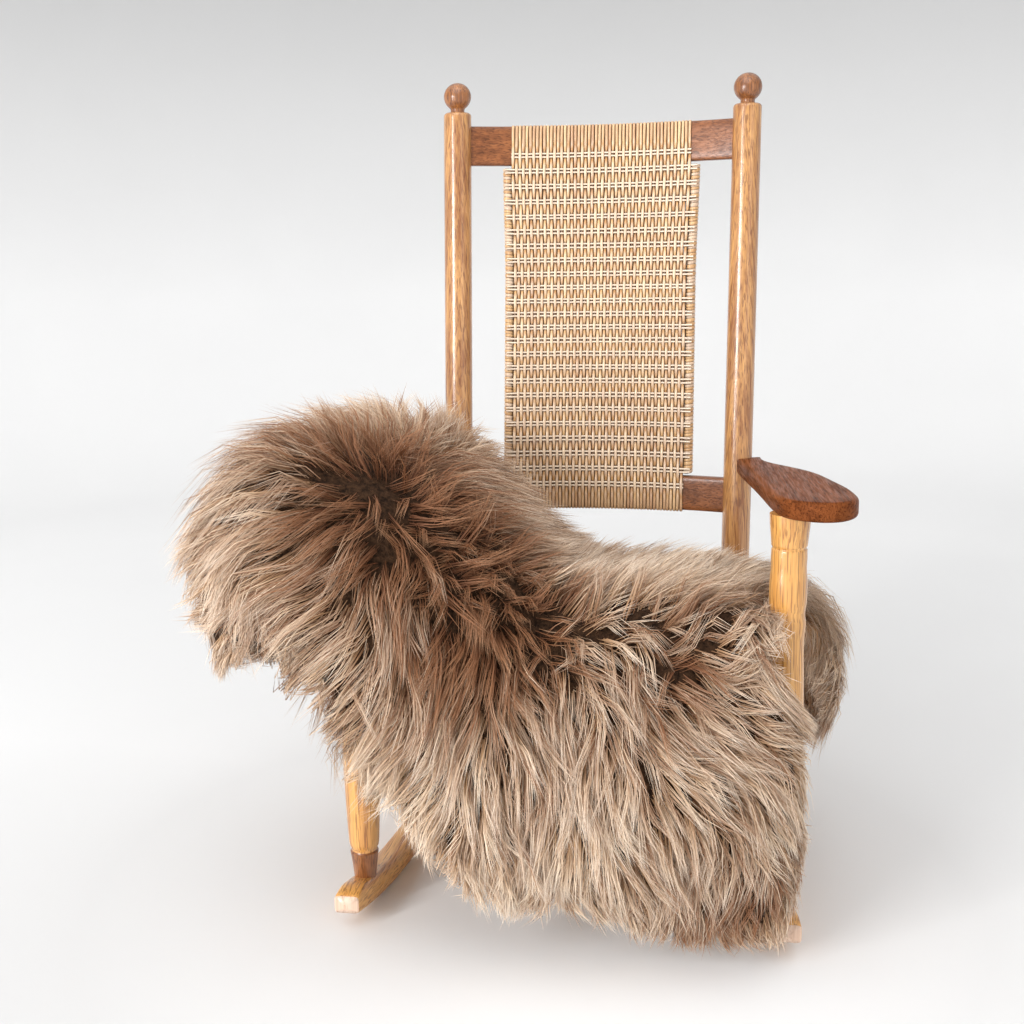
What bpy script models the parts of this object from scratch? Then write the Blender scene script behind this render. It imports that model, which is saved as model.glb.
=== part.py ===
"""A long-wool sheepskin rug lying over the seat and the left arm of a rocking chair.

Metres, +Z up, front of the chair towards -Y. Sizes are written in the chair's own frame, whose zero
is the floor midway between the front legs. One empty then carries everything to the part's origin,
the floor under the middle of the whole.
"""

import math

import bmesh
import bpy
import numpy as np
from mathutils import Vector

GAP = 0.0003  # between two pieces that touch
PART_CENTRE = (-0.0606, 0.2521)  # middle of the whole in the chair's own frame

# Back posts: round, upright below the seat, leaning back above it, with a ball on top.
POST_RADIUS = 0.0210
BACK_HALF = 0.2126  # half the spacing of the back posts at the seat
BACK_SPLAY = 0.0094  # how fast that half spacing grows with height
BACK_DEPTH = 0.4280  # from the front posts to the back posts
LEAN = math.tan(math.radians(7.25))
BEND_Z = 0.430
SHOULDER_Z = 1.044
BALL_Z = 1.068
BALL_RADIUS = 0.0208

# Front posts: turned, between the rocker and the arm.
FRONT_HALF = 0.2605
FRONT_TURNING = [  # (radius, height) above the tapered foot
    (0.0195, 0.095), (0.0212, 0.132), (0.0228, 0.210), (0.0222, 0.290), (0.0206, 0.345),
    (0.0206, 0.400), (0.0212, 0.440), (0.0215, 0.468), (0.0205, 0.480), (0.0198, 0.4835),
    (0.0208, 0.488), (0.0220, 0.500)]
FRONT_TOP_RADIUS = 0.0236

# Arms: flat paddles that slope down a little towards the back.
ARM_FRONT_Z = 0.5443  # the arm's top over the front post
ARM_SLOPE = 0.0424
ARM_THICK = 0.023
ARM_EDGE = 0.004

# Rockers: bars in line with their two posts, with a short flat under the middle.
ROCKER_WIDE = 0.031
ROCKER_TALL = 0.033
ROCKER_NOSE_Y = -0.068
ROCKER_TAIL_Y = 0.715
FLAT_MIDDLE_Y = 0.170
FLAT_HALF = 0.060
FRONT_BEND = 0.700  # radius ahead of the flat
REAR_BEND = 1.150  # radius behind the flat

# Seat: a woven slab round its four rails, lower at the back.
SEAT_FRONT_Z = 0.385
SEAT_SLOPE = 0.0935
SEAT_THICK = 0.034
SEAT_FRONT_Y = -0.019
SEAT_REAR_Y = 0.445
SEAT_OUT = 0.017  # how far the weave stands out past the line of the posts

# Back: two bowed rails and the woven panel round them.
RAIL_THICK = 0.018
RAIL_BOW = 0.040
TOP_RAIL = (0.965, 1.024)  # lower and upper edge
LOW_RAIL = (0.442, 0.494)
CANE_THICK = 0.019
CANE_HALF = 0.152  # half width between the rails
CANE_CLEAR = 0.005  # its side sticks stop this short of the rails
WRAP_HALF = 0.138  # half width where the cane goes round the rails
WRAP = 0.003

STRETCHER_RADIUS = 0.011
STRETCHER_HEIGHTS = {"front": (0.165, 0.255), "side": (0.140, 0.225), "rear": (0.190,)}

# The rug. A row is one section from the back edge to the front hem, and the rows go from the left
# edge to the right one. back, rest, notch, crest and hem are points of the hide: notch is beside
# the front post and crest is where it turns down. arch lifts the hide between back and rest, rise
# lifts it between rest and notch, belly pushes the hanging part outwards, facing says which way it hangs out, in degrees from the front
# towards the left, and pile is the depth of the wool.
SECTIONS = [
    dict(back=(-0.360, 0.330, 0.440), rest=(-0.406, 0.160, 0.385), notch=(-0.412, 0.040, 0.368),
         crest=(-0.402, -0.048, 0.362), hem=(-0.334, -0.102, 0.384), arch=0.004, belly=0.012,
         facing=50, pile=0.046),
    dict(back=(-0.366, 0.352, 0.500), rest=(-0.402, 0.160, 0.476), notch=(-0.410, 0.030, 0.464),
         crest=(-0.396, -0.068, 0.452), hem=(-0.268, -0.116, 0.390), arch=0.004, belly=0.016,
         facing=44, pile=0.058),
    dict(back=(-0.340, 0.376, 0.540), rest=(-0.374, 0.160, 0.540), notch=(-0.380, 0.030, 0.536),
         crest=(-0.372, -0.074, 0.520), hem=(-0.212, -0.112, 0.368), arch=0.004, belly=0.026,
         facing=24, pile=0.070),
    dict(back=(-0.285, 0.390, 0.545), rest=(-0.318, 0.160, 0.552), notch=(-0.322, 0.030, 0.556),
         crest=(-0.320, -0.082, 0.540), hem=(-0.176, -0.110, 0.272), arch=0.002, belly=0.036,
         facing=10, pile=0.078),
    dict(back=(-0.215, 0.394, 0.530), rest=(-0.238, 0.160, 0.544), notch=(-0.240, 0.030, 0.548),
         crest=(-0.242, -0.078, 0.528), hem=(-0.140, -0.106, 0.182), arch=0.004, belly=0.042,
         facing=4, pile=0.070),
    dict(back=(-0.150, 0.394, 0.474), rest=(-0.158, 0.160, 0.494), notch=(-0.157, 0.030, 0.505),
         crest=(-0.155, -0.066, 0.482), hem=(-0.096, -0.104, 0.130), arch=0.000, belly=0.042,
         facing=2, pile=0.056),
    dict(back=(-0.074, 0.392, 0.396), rest=(-0.078, 0.160, 0.416), notch=(-0.077, 0.030, 0.434),
         crest=(-0.076, -0.056, 0.420), hem=(-0.048, -0.102, 0.116), arch=-0.004, belly=0.046,
         facing=0, pile=0.050),
    dict(back=(0.008, 0.390, 0.350), rest=(0.000, 0.160, 0.368), notch=(0.000, 0.030, 0.387),
         crest=(0.000, -0.052, 0.386), hem=(0.016, -0.100, 0.112), arch=-0.002, belly=0.050,
         facing=0, pile=0.050),
    dict(back=(0.090, 0.388, 0.347), rest=(0.082, 0.160, 0.368), notch=(0.078, 0.030, 0.384),
         crest=(0.074, -0.050, 0.382), hem=(0.080, -0.097, 0.094), arch=-0.002, belly=0.050,
         facing=0, pile=0.050),
    dict(back=(0.172, 0.384, 0.347), rest=(0.168, 0.150, 0.369), notch=(0.146, 0.030, 0.384),
         crest=(0.142, -0.048, 0.381), hem=(0.142, -0.093, 0.080), arch=-0.002, belly=0.046,
         facing=-8, pile=0.048),
    dict(back=(0.236, 0.372, 0.352), rest=(0.236, 0.145, 0.374), notch=(0.188, 0.034, 0.384),
         crest=(0.184, -0.045, 0.380), hem=(0.196, -0.090, 0.070), arch=0.000, belly=0.040,
         facing=-20, pile=0.046),
    dict(back=(0.276, 0.356, 0.330), rest=(0.290, 0.134, 0.380), notch=(0.212, 0.046, 0.384),
         crest=(0.214, -0.048, 0.378), hem=(0.226, -0.088, 0.064), arch=0.000, belly=0.036,
         facing=-40, pile=0.046),
    dict(back=(0.292, 0.335, 0.240), rest=(0.320, 0.118, 0.300), notch=(0.228, 0.056, 0.388),
         crest=(0.230, -0.052, 0.374), hem=(0.244, -0.086, 0.062), arch=-0.050, rise=0.044, belly=0.028,
         facing=-60, pile=0.048),
]
ACROSS = 56  # cells from the left edge to the right one
ALONG = 36  # cells from the back edge to the hem
HIDE_CLEAR = 0.0004  # over the seat and the arm where the hide lies on them
EDGE_CLEAR = 0.007  # how far past their edges that still holds
EDGE_ROLL = 0.030  # how gently the hide rolls down beyond that
EDGE_REACH = 0.020  # and how far
WOOL_LEAST = 0.006  # thinnest wool over the seat and the arm
SETTLE = 4  # times the hide is evened out as it settles on the wood
HIDE_OFF_POST = 0.006  # hide to a front post
RIM_PILE = 0.40  # share of the pile's depth that is left at the rim
RIM_FADE = 0.035  # how far in from the rim the pile thins
LUMP = 0.0075  # height of the wool's lumps
LOCK_SHORT, LOCK_LONG = 0.026, 0.056  # locks at the rim
FLOOR_CLEAR = 0.012  # lowest lock tip
POST_CLEAR = 0.010  # wool to a front post

COLOURS = {
    "honey_oak": ((0.58, 0.30, 0.09), 0.35),
    "brown_oak": ((0.26, 0.12, 0.05), 0.32),
    "cane": ((0.66, 0.46, 0.22), 0.45),
    "wool": ((0.36, 0.25, 0.16), 0.85),
}


def back_half(z):
    """Half the spacing of the back posts at height z."""
    return BACK_HALF + BACK_SPLAY * (z - BEND_Z)


def back_y(z):
    """Middle of a back post at height z: upright, then leaning, with a soft bend between."""
    soft = 0.030
    above = z - BEND_Z
    return BACK_DEPTH + LEAN * 0.5 * (above + math.sqrt(above * above + soft * soft))


def front_radius(z):
    """A front post's radius at height z."""
    return float(np.interp(z, [h for _, h in FRONT_TURNING], [r for r, _ in FRONT_TURNING]))


def line_x(y):
    """Middle of a rocker, and of the side rails and stretchers, at depth y."""
    return FRONT_HALF + (back_half(0.2) - FRONT_HALF) * y / BACK_DEPTH


def seat_top(y):
    return SEAT_FRONT_Z - SEAT_SLOPE * y


def arm_top(y):
    return ARM_FRONT_Z - ARM_SLOPE * y


def rocker_low(y):
    """The rocker's lower edge: flat in the middle, round ahead of it and behind it."""
    ahead = max(FLAT_MIDDLE_Y - FLAT_HALF - y, 0.0)
    behind = max(y - FLAT_MIDDLE_Y - FLAT_HALF, 0.0)
    return ahead**2 / (2 * FRONT_BEND) + behind**2 / (2 * REAR_BEND)


def rocker_top(y):
    return rocker_low(y) + ROCKER_TALL


def clear_scene():
    for obj in list(bpy.data.objects):
        bpy.data.objects.remove(obj, do_unlink=True)


def material(name):
    """A Principled material of the named finish."""
    found = bpy.data.materials.get(name)
    if found:
        return found
    colour, rough = COLOURS[name]
    made = bpy.data.materials.new(name)
    made.use_nodes = True
    shader = made.node_tree.nodes["Principled BSDF"]
    shader.inputs["Base Color"].default_value = (*colour, 1.0)
    shader.inputs["Roughness"].default_value = rough
    shader.inputs["Metallic"].default_value = 0.0
    return made


def make_object(name, bm, finish, smooth=40.0):
    """An object from bm, shaded smooth but for edges sharper than smooth degrees."""
    mesh = bpy.data.meshes.new(name)
    bmesh.ops.recalc_face_normals(bm, faces=bm.faces)
    bm.to_mesh(mesh)
    bm.free()
    mesh.materials.append(material(finish))
    mesh.shade_smooth()
    mesh.set_sharp_from_angle(angle=math.radians(smooth))
    obj = bpy.data.objects.new(name, mesh)
    bpy.context.scene.collection.objects.link(obj)
    return obj


def turned(name, profile, sides, finish, place, low_end, high_end):
    """A turned piece: profile is (radius, height) from bottom to top, spun about Z.

    place(z) gives the axis at that height, and low_end and high_end the height of the two end
    faces at depth y, so that a foot or a top follows what it stands on.
    """
    bm = bmesh.new()
    heights = [z for _, z in profile]
    points = [bm.verts.new((0, 0, heights[0]))]
    points += [bm.verts.new((r, 0, z)) for r, z in profile]
    points.append(bm.verts.new((0, 0, heights[-1])))
    edges = [bm.edges.new(pair) for pair in zip(points, points[1:])]
    bmesh.ops.spin(bm, geom=points + edges, cent=(0, 0, 0), axis=(0, 0, 1), angle=2 * math.pi,
                   steps=sides, use_merge=True)
    bmesh.ops.remove_doubles(bm, verts=bm.verts, dist=1e-5)
    for vert in bm.verts:
        z = vert.co.z
        x, y = place(z)
        vert.co.x += x
        vert.co.y += y
        if low_end and abs(z - heights[0]) < 1e-6:
            vert.co.z = low_end(vert.co.y) + GAP
        if high_end and abs(z - heights[-1]) < 1e-6:
            vert.co.z = high_end(vert.co.y) - GAP
    return make_object(name, bm, finish)


def dowel(name, start, end, radius, finish, sides=12):
    """A plain round bar between two points, with a slightly thicker middle."""
    start, end = Vector(start), Vector(end)
    along = end - start
    turn = along.to_track_quat("Z", "Y")
    bm = bmesh.new()
    swell = ((0.0, 0.78), (0.18, 0.92), (0.5, 1.0), (0.82, 0.92), (1.0, 0.78))
    rings = []
    for share, size in swell:
        ring = []
        for k in range(sides):
            angle = 2 * math.pi * k / sides
            across = turn @ Vector((math.cos(angle), math.sin(angle), 0)) * radius * size
            ring.append(bm.verts.new(start + along * share + across))
        rings.append(ring)
    for low, high in zip(rings, rings[1:]):
        for k in range(sides):
            bm.faces.new((low[k], low[(k + 1) % sides], high[(k + 1) % sides], high[k]))
    bm.faces.new(rings[0][::-1])
    bm.faces.new(rings[-1])
    return make_object(name, bm, finish)


def prism(name, outline, low, high, finish, edge=0.0):
    """An outline of (x, y) between the heights low(y) and high(y), with its rim rounded by edge."""
    bm = bmesh.new()
    under = [bm.verts.new((x, y, low(y))) for x, y in outline]
    over = [bm.verts.new((x, y, high(y))) for x, y in outline]
    count = len(outline)
    bm.faces.new(under[::-1])
    bm.faces.new(over)
    for k in range(count):
        bm.faces.new((under[k], under[(k + 1) % count], over[(k + 1) % count], over[k]))
    obj = make_object(name, bm, finish)
    if edge:
        rim = obj.modifiers.new("edge", "BEVEL")
        rim.width = edge
        rim.segments = 2
        rim.limit_method = "ANGLE"
        rim.angle_limit = math.radians(50)
    return obj


def arc(centre, radius, first, last, steps):
    """Points on a circle from one angle to another, in degrees."""
    turns = [math.radians(first + (last - first) * k / steps) for k in range(steps + 1)]
    return [(centre[0] + radius * math.cos(t), centre[1] + radius * math.sin(t)) for t in turns]


def back_post(side):
    """A back post: tapered foot, plain round shaft, shoulder, neck and ball."""
    foot_z = rocker_top(BACK_DEPTH)
    neck = 0.011
    profile = [(0.015, foot_z), (0.017, foot_z + 0.040), (POST_RADIUS, foot_z + 0.055)]
    profile += [(POST_RADIUS, z) for z in (0.280, 0.395, 0.430, 0.465, 0.700)]
    profile += [(POST_RADIUS, SHOULDER_Z - 0.004), (POST_RADIUS - 0.004, SHOULDER_Z)]
    profile += [(neck, SHOULDER_Z + 0.0015), (neck, SHOULDER_Z + 0.005)]
    profile += [(BALL_RADIUS * math.sin(math.radians(turn)), BALL_Z - BALL_RADIUS * math.cos(math.radians(turn)))
                for turn in (50, 70, 90, 110, 130, 150, 166)]
    return turned("back_post_" + side[0], profile, 20, "brown_oak",
                  lambda z: (side[1] * back_half(z), back_y(z)), rocker_top, None)


def front_post(side):
    """A turned front post: tapered foot, long swell, waist and a plain top under the arm."""
    foot_z = rocker_top(0)
    top_z = arm_top(0) - ARM_THICK
    profile = [(0.0140, foot_z), (0.0180, foot_z + 0.036), (0.0162, foot_z + 0.039)]
    profile += FRONT_TURNING + [(FRONT_TOP_RADIUS, top_z)]
    return turned("front_post_" + side[0], profile, 20, "honey_oak",
                  lambda z: (side[1] * FRONT_HALF, 0.0), rocker_top, lambda y: arm_top(y) - ARM_THICK)


def rocker(side):
    """A rocker, drawn from the side and given its width along the line of its two posts."""
    name, sign = side
    steps = 26
    span = ROCKER_TAIL_Y - ROCKER_NOSE_Y
    stations = [ROCKER_NOSE_Y + span * k / steps for k in range(steps + 1)]
    stations += [FLAT_MIDDLE_Y - FLAT_HALF, FLAT_MIDDLE_Y + FLAT_HALF]
    stations.sort()
    tip = 0.036  # length over which nose and tail are rounded off
    bm = bmesh.new()
    rings = []
    for y in stations:
        from_end = min(y - ROCKER_NOSE_Y, ROCKER_TAIL_Y - y)
        fall = 1 - min(from_end / tip, 1.0)
        height = ROCKER_TALL * (1 - 0.45 * fall**2)
        ring = []
        for across, up in ((-1, 0), (1, 0), (1, 1), (-1, 1)):
            x = sign * line_x(y) + across * ROCKER_WIDE / 2
            ring.append(bm.verts.new((x, y, rocker_low(y) + up * height)))
        rings.append(ring)
    for one, two in zip(rings, rings[1:]):
        for k in range(4):
            bm.faces.new((one[k], one[(k + 1) % 4], two[(k + 1) % 4], two[k]))
    bm.faces.new(rings[0][::-1])
    bm.faces.new(rings[-1])
    obj = make_object("rocker_" + name, bm, "honey_oak")
    rim = obj.modifiers.new("edge", "BEVEL")
    rim.width = 0.0025
    rim.segments = 1
    rim.limit_method = "ANGLE"
    rim.angle_limit = math.radians(60)
    return obj


def arm_outline():
    """The right arm from above, anticlockwise from its inner back corner."""
    inner = [(0.2105, 0.4380), (0.2160, 0.3500), (0.2250, 0.2400), (0.2350, 0.1000), (0.2420, 0.0100)]
    front = [(0.2480, -0.0220), (0.2600, -0.0450), (0.2760, -0.0580), (0.2930, -0.0630),
             (0.3110, -0.0570), (0.3260, -0.0390), (0.3350, -0.0120)]
    outer = [(0.3370, 0.0200), (0.3340, 0.0850), (0.3250, 0.1550), (0.3090, 0.2500),
             (0.2800, 0.3250), (0.2590, 0.3750), (0.2500, 0.4200), (0.2480, 0.4520)]
    return inner + front + outer


def arm(side):
    """A paddle arm, notched round its back post."""
    name, sign = side
    outline = [(sign * x, y) for x, y in arm_outline()]
    if sign < 0:
        outline.reverse()
    obj = prism("arm_" + name, outline, lambda y: arm_top(y) - ARM_THICK, arm_top, "brown_oak", ARM_EDGE)
    cutter = turned("arm_notch_" + name, [(POST_RADIUS + GAP, 0.45), (POST_RADIUS + GAP, 0.60)], 20,
                    "brown_oak", lambda z: (sign * back_half(z), back_y(z)), None, None)
    hide_helper(cutter)
    cut(obj, cutter, "DIFFERENCE")
    return obj


def hide_helper(obj):
    obj.hide_render = True
    obj.display_type = "WIRE"


def cut(obj, other, operation):
    """A Boolean of obj with other."""
    boolean = obj.modifiers.new(other.name, "BOOLEAN")
    boolean.operation = operation
    boolean.object = other
    boolean.solver = "EXACT"


def bow_at(x, z):
    """How far back the rails and the panel are bowed at x, on a parabola between the posts."""
    return RAIL_BOW * (1 - (x / back_half(z)) ** 2)


def bowed_board(name, half, low, high, thick, finish, steps):
    """An upright board that leans with the back posts and is bowed between them.

    half gives its half width at height z.
    """
    bm = bmesh.new()
    columns = []
    for k in range(steps + 1):
        share = 2 * k / steps - 1
        column = []
        for z, front in ((low, True), (low, False), (high, False), (high, True)):
            x = share * half(z)
            y = back_y(z) + bow_at(x, z) + (-thick if front else thick) / 2
            column.append(bm.verts.new((x, y, z)))
        columns.append(column)
    for one, two in zip(columns, columns[1:]):
        for k in range(4):
            bm.faces.new((one[k], one[(k + 1) % 4], two[(k + 1) % 4], two[k]))
    bm.faces.new(columns[0][::-1])
    bm.faces.new(columns[-1])
    return make_object(name, bm, finish)


def back_rails_and_cane():
    """The two rails, and the woven panel that goes round them."""
    between_posts = lambda z: back_half(z) - POST_RADIUS - GAP
    pieces = []
    channels = []
    for name, (low, high) in (("top_rail", TOP_RAIL), ("low_rail", LOW_RAIL)):
        pieces.append(bowed_board(name, between_posts, low, high, RAIL_THICK, "brown_oak", 14))
        channel = bowed_board(name + "_channel", between_posts, low - GAP, high + GAP,
                              RAIL_THICK + 2 * GAP, "brown_oak", 14)
        hide_helper(channel)
        channels.append(channel)
    cane = bowed_board("cane_back", lambda z: WRAP_HALF, LOW_RAIL[0] - WRAP, TOP_RAIL[1] + WRAP,
                       RAIL_THICK + 2 * WRAP, "cane", 12)
    wraps = bowed_board("cane_sides", lambda z: CANE_HALF, LOW_RAIL[1] + CANE_CLEAR, TOP_RAIL[0] - CANE_CLEAR,
                        CANE_THICK, "cane", 12)
    hide_helper(wraps)
    cut(cane, wraps, "UNION")
    for channel in channels:
        cut(cane, channel, "DIFFERENCE")
    pieces.append(cane)
    return pieces


def seat_outline():
    """The seat from above, anticlockwise, with a notch for each post."""
    front_in = FRONT_HALF - 0.0206 - 2 * GAP
    front_back = 0.0206 + 3 * GAP
    rear_front = BACK_DEPTH - POST_RADIUS - GAP
    rear_in = back_half(0.33) - POST_RADIUS - GAP
    right = [(front_in, SEAT_FRONT_Y), (front_in, front_back), (line_x(front_back) + SEAT_OUT, front_back),
             (line_x(rear_front) + SEAT_OUT, rear_front), (rear_in, rear_front), (rear_in, SEAT_REAR_Y)]
    return right + [(-x, y) for x, y in reversed(right)]


def seat():
    """The woven seat, wrapped round its four rails."""
    return prism("seat", seat_outline(), lambda y: seat_top(y) - SEAT_THICK, seat_top, "cane", 0.007)


def stretchers():
    """The dowels between the posts, under the seat."""
    pieces = []
    for k, z in enumerate(STRETCHER_HEIGHTS["front"]):
        ends = FRONT_HALF - front_radius(z) - GAP
        pieces.append(dowel(f"front_stretcher_{k + 1}", (-ends, 0, z), (ends, 0, z), STRETCHER_RADIUS, "honey_oak"))
    for k, z in enumerate(STRETCHER_HEIGHTS["side"]):
        for name, sign in SIDES:
            near, far = front_radius(z) + GAP, BACK_DEPTH - POST_RADIUS - GAP
            pieces.append(dowel(f"side_stretcher_{name}_{k + 1}", (sign * line_x(near), near, z),
                                (sign * line_x(far), far, z), STRETCHER_RADIUS, "honey_oak"))
    for k, z in enumerate(STRETCHER_HEIGHTS["rear"]):
        ends = back_half(z) - POST_RADIUS - GAP
        pieces.append(dowel(f"rear_stretcher_{k + 1}", (-ends, BACK_DEPTH, z), (ends, BACK_DEPTH, z),
                            STRETCHER_RADIUS, "honey_oak"))
    return pieces


def spline_weights(knots, samples):
    """Matrix that turns values at the knots into a natural cubic spline's values at the samples."""
    knots = np.asarray(knots, float)
    samples = np.asarray(samples, float)
    count = len(knots)
    step = np.diff(knots)
    system = np.eye(count)
    right = np.zeros((count, count))
    for k in range(1, count - 1):
        system[k, k - 1:k + 2] = step[k - 1], 2 * (step[k - 1] + step[k]), step[k]
        right[k, k - 1:k + 2] = 6 / step[k - 1], -6 / step[k - 1] - 6 / step[k], 6 / step[k]
    curvature = np.linalg.solve(system, right)
    span = np.clip(np.searchsorted(knots, samples) - 1, 0, count - 2)
    width = step[span]
    a = (knots[span + 1] - samples) / width
    b = (samples - knots[span]) / width
    unit = np.eye(count)
    return (a[:, None] * unit[span] + b[:, None] * unit[span + 1]
            + ((a**3 - a) * width**2 / 6)[:, None] * curvature[span]
            + ((b**3 - b) * width**2 / 6)[:, None] * curvature[span + 1])


def section_points(row):
    """The nine points of one section, from the back edge to the hem."""
    back, rest, notch, crest, hem = (np.array(row[k]) for k in ("back", "rest", "notch", "crest", "hem"))
    turn = math.radians(row["facing"])
    outwards = np.array([-math.sin(turn), -math.cos(turn), 0.0])
    lying = (back + rest) / 2 + np.array([0, 0, row["arch"]])
    beside = (rest + notch) / 2 + np.array([0, 0, row.get("rise", 0.0)])
    upper = crest + 0.30 * (hem - crest) + 0.95 * row["belly"] * outwards
    lower = crest + 0.66 * (hem - crest) + 0.90 * row["belly"] * outwards
    return np.array([back, lying, rest, beside, notch, crest, upper, lower, hem])


def even_knots(net, axis):
    """Knots along one way of the net, spaced as its points are on average."""
    lengths = np.linalg.norm(np.diff(net, axis=axis), axis=2).mean(axis=1 - axis)
    return np.concatenate([[0.0], np.cumsum(lengths)])


def outside_by(x, y, outline):
    """How far places are outside a closed outline, 0 within it."""
    inside = np.zeros(np.shape(x), bool)
    nearest = np.full(np.shape(x), 9.0)
    for (ax, ay), (bx, by) in zip(outline, outline[1:] + outline[:1]):
        along = ((x - ax) * (bx - ax) + (y - ay) * (by - ay)) / ((bx - ax) ** 2 + (by - ay) ** 2)
        along = np.clip(along, 0, 1)
        nearest = np.minimum(nearest, np.hypot(x - ax - along * (bx - ax), y - ay - along * (by - ay)))
        if ay != by:
            inside ^= ((ay > y) != (by > y)) & (x < ax + (y - ay) * (bx - ax) / (by - ay))
    return np.where(inside, 0.0, nearest)


def rest_on_wood(points, clear=HIDE_CLEAR):
    """Lifts the hide to lie on the seat and the left arm, and to roll off round their edges."""
    x, y = points[..., 0], points[..., 1]
    left_arm = [(-px, py) for px, py in arm_outline()]
    for outline, top in ((seat_outline(), seat_top), (left_arm, arm_top)):
        away = outside_by(x, y, outline)
        lowest = top(y) + clear - np.maximum(away - EDGE_CLEAR, 0) ** 2 / EDGE_ROLL
        points[..., 2] = np.where(away < EDGE_REACH, np.maximum(points[..., 2], lowest), points[..., 2])


def keep_off_posts(points, clear):
    """Pushes points straight out of the two front posts, and of a space round them."""
    radius = FRONT_TOP_RADIUS + clear
    for sign in (-1, 1):
        dx = points[..., 0] - sign * FRONT_HALF
        dy = points[..., 1]
        away = np.hypot(dx, dy)
        inside = (away < radius) & (points[..., 2] < arm_top(0))
        push = np.where(inside, radius / np.maximum(away, 1e-6), 1.0)
        points[..., 0] = sign * FRONT_HALF + dx * push
        points[..., 1] = dy * push


def keep_before_back(points):
    """Keeps the wool in front of the back posts and the low rail."""
    limit = BACK_DEPTH + LEAN * np.maximum(points[..., 2] - BEND_Z, 0) - POST_RADIUS - 0.005
    points[..., 1] = np.minimum(points[..., 1], limit)


def surface_normals(points):
    """Unit normals of a grid of points, on the wool's side."""
    across = np.gradient(points, axis=0)
    along = np.gradient(points, axis=1)
    normal = np.cross(along, across)
    return normal / np.linalg.norm(normal, axis=2, keepdims=True)


def fleece_grids():
    """(hide, wool): the hide's grid of points and the grid of the wool's outer surface."""
    net = np.array([section_points(row) for row in SECTIONS])
    knots_u, knots_v = even_knots(net, 0), even_knots(net, 1)
    u = np.linspace(0, knots_u[-1], ACROSS + 1)
    v = np.linspace(0, knots_v[-1], ALONG + 1)
    over_u, over_v = spline_weights(knots_u, u), spline_weights(knots_v, v)
    hide = np.einsum("ai,ijk,bj->abk", over_u, net, over_v)
    for _ in range(SETTLE):
        rest_on_wood(hide)
        keep_off_posts(hide, HIDE_OFF_POST)
        inner = hide[1:-1, 1:-1]
        around = hide[:-2, 1:-1] + hide[2:, 1:-1] + hide[1:-1, :-2] + hide[1:-1, 2:]
        inner += 0.5 * (around / 4 - inner)
    rest_on_wood(hide)
    keep_off_posts(hide, HIDE_OFF_POST)
    pile = over_u @ np.array([row["pile"] for row in SECTIONS])
    u, v = np.meshgrid(u, v, indexing="ij")
    to_rim = np.minimum(np.minimum(u, knots_u[-1] - u), np.minimum(v, knots_v[-1] - v))
    depth = pile[:, None] * (1 - (1 - RIM_PILE) * np.exp(-to_rim / RIM_FADE))
    lumps = (np.sin(61 * u + 9 * v) * np.sin(23 * v - 14 * u + 1.0)
             + 0.7 * np.sin(97 * u - 31 * v + 2.0) + 0.5 * np.sin(43 * v + 71 * u))
    depth = depth + LUMP * lumps * np.minimum(to_rim / RIM_FADE, 1) / 2.2
    wool = hide + surface_normals(hide) * depth[:, :, None]
    keep_off_posts(wool, POST_CLEAR)
    keep_before_back(wool)
    rest_on_wood(wool, WOOL_LEAST)
    return hide, wool


def rim_loop(grid):
    """The grid's rim as one closed loop of (row, column), and the outward neighbour step of each edge."""
    rows, columns = grid.shape[:2]
    loop = [(i, 0) for i in range(rows - 1)]
    loop += [(rows - 1, j) for j in range(columns - 1)]
    loop += [(i, columns - 1) for i in range(rows - 1, 0, -1)]
    loop += [(0, j) for j in range(columns - 1, 0, -1)]
    return loop


def inward(index, shape):
    """The grid place one cell in from a place on the rim."""
    return tuple(min(max(k, 1), size - 2) for k, size in zip(index, shape))


def fleece():
    """The sheepskin: hide below, lumpy wool above, and a lock on every edge of the rim."""
    hide, wool = fleece_grids()
    rows, columns = hide.shape[:2]
    number = np.arange(rows * columns).reshape(rows, columns)
    points = [tuple(p) for p in hide.reshape(-1, 3)] + [tuple(p) for p in wool.reshape(-1, 3)]
    top = rows * columns
    faces = []
    for i in range(rows - 1):
        for j in range(columns - 1):
            a, b, c, d = number[i, j], number[i + 1, j], number[i + 1, j + 1], number[i, j + 1]
            faces.append((a, b, c, d))
            faces.append((top + a, top + d, top + c, top + b))
    chance = np.random.default_rng(11)
    loop = rim_loop(hide)
    for k, one in enumerate(loop):
        two = loop[(k + 1) % len(loop)]
        base = (hide[one] + hide[two] + wool[one] + wool[two]) / 4
        within = (hide[inward(one, hide.shape[:2])] + hide[inward(two, hide.shape[:2])]) / 2
        out = (hide[one] + hide[two]) / 2 - within
        out /= np.linalg.norm(out)
        side = (hide[two] - hide[one]) * chance.uniform(-0.5, 0.5)
        down = np.array([0, 0, -0.9])
        reach = chance.uniform(LOCK_SHORT, LOCK_LONG)
        way = (out + down) / np.linalg.norm(out + down)
        tip = base + way * reach + side
        tip[2] = max(tip[2], FLOOR_CLEAR)
        tip = tip[None, :]
        keep_off_posts(tip, POST_CLEAR)
        keep_before_back(tip)
        rest_on_wood(tip, WOOL_LEAST)
        points.append(tuple(tip[0]))
        apex = len(points) - 1
        a, b = number[one], number[two]
        for pair in ((b, a), (a, top + a), (top + a, top + b), (top + b, b)):
            faces.append((*pair, apex))
    bm = bmesh.new()
    verts = [bm.verts.new(p) for p in points]
    for face in faces:
        bm.faces.new([verts[n] for n in face])
    bmesh.ops.triangulate(bm, faces=bm.faces)
    return make_object("sheepskin", bm, "wool", 60.0)


SIDES = (("left", -1), ("right", 1))


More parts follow.
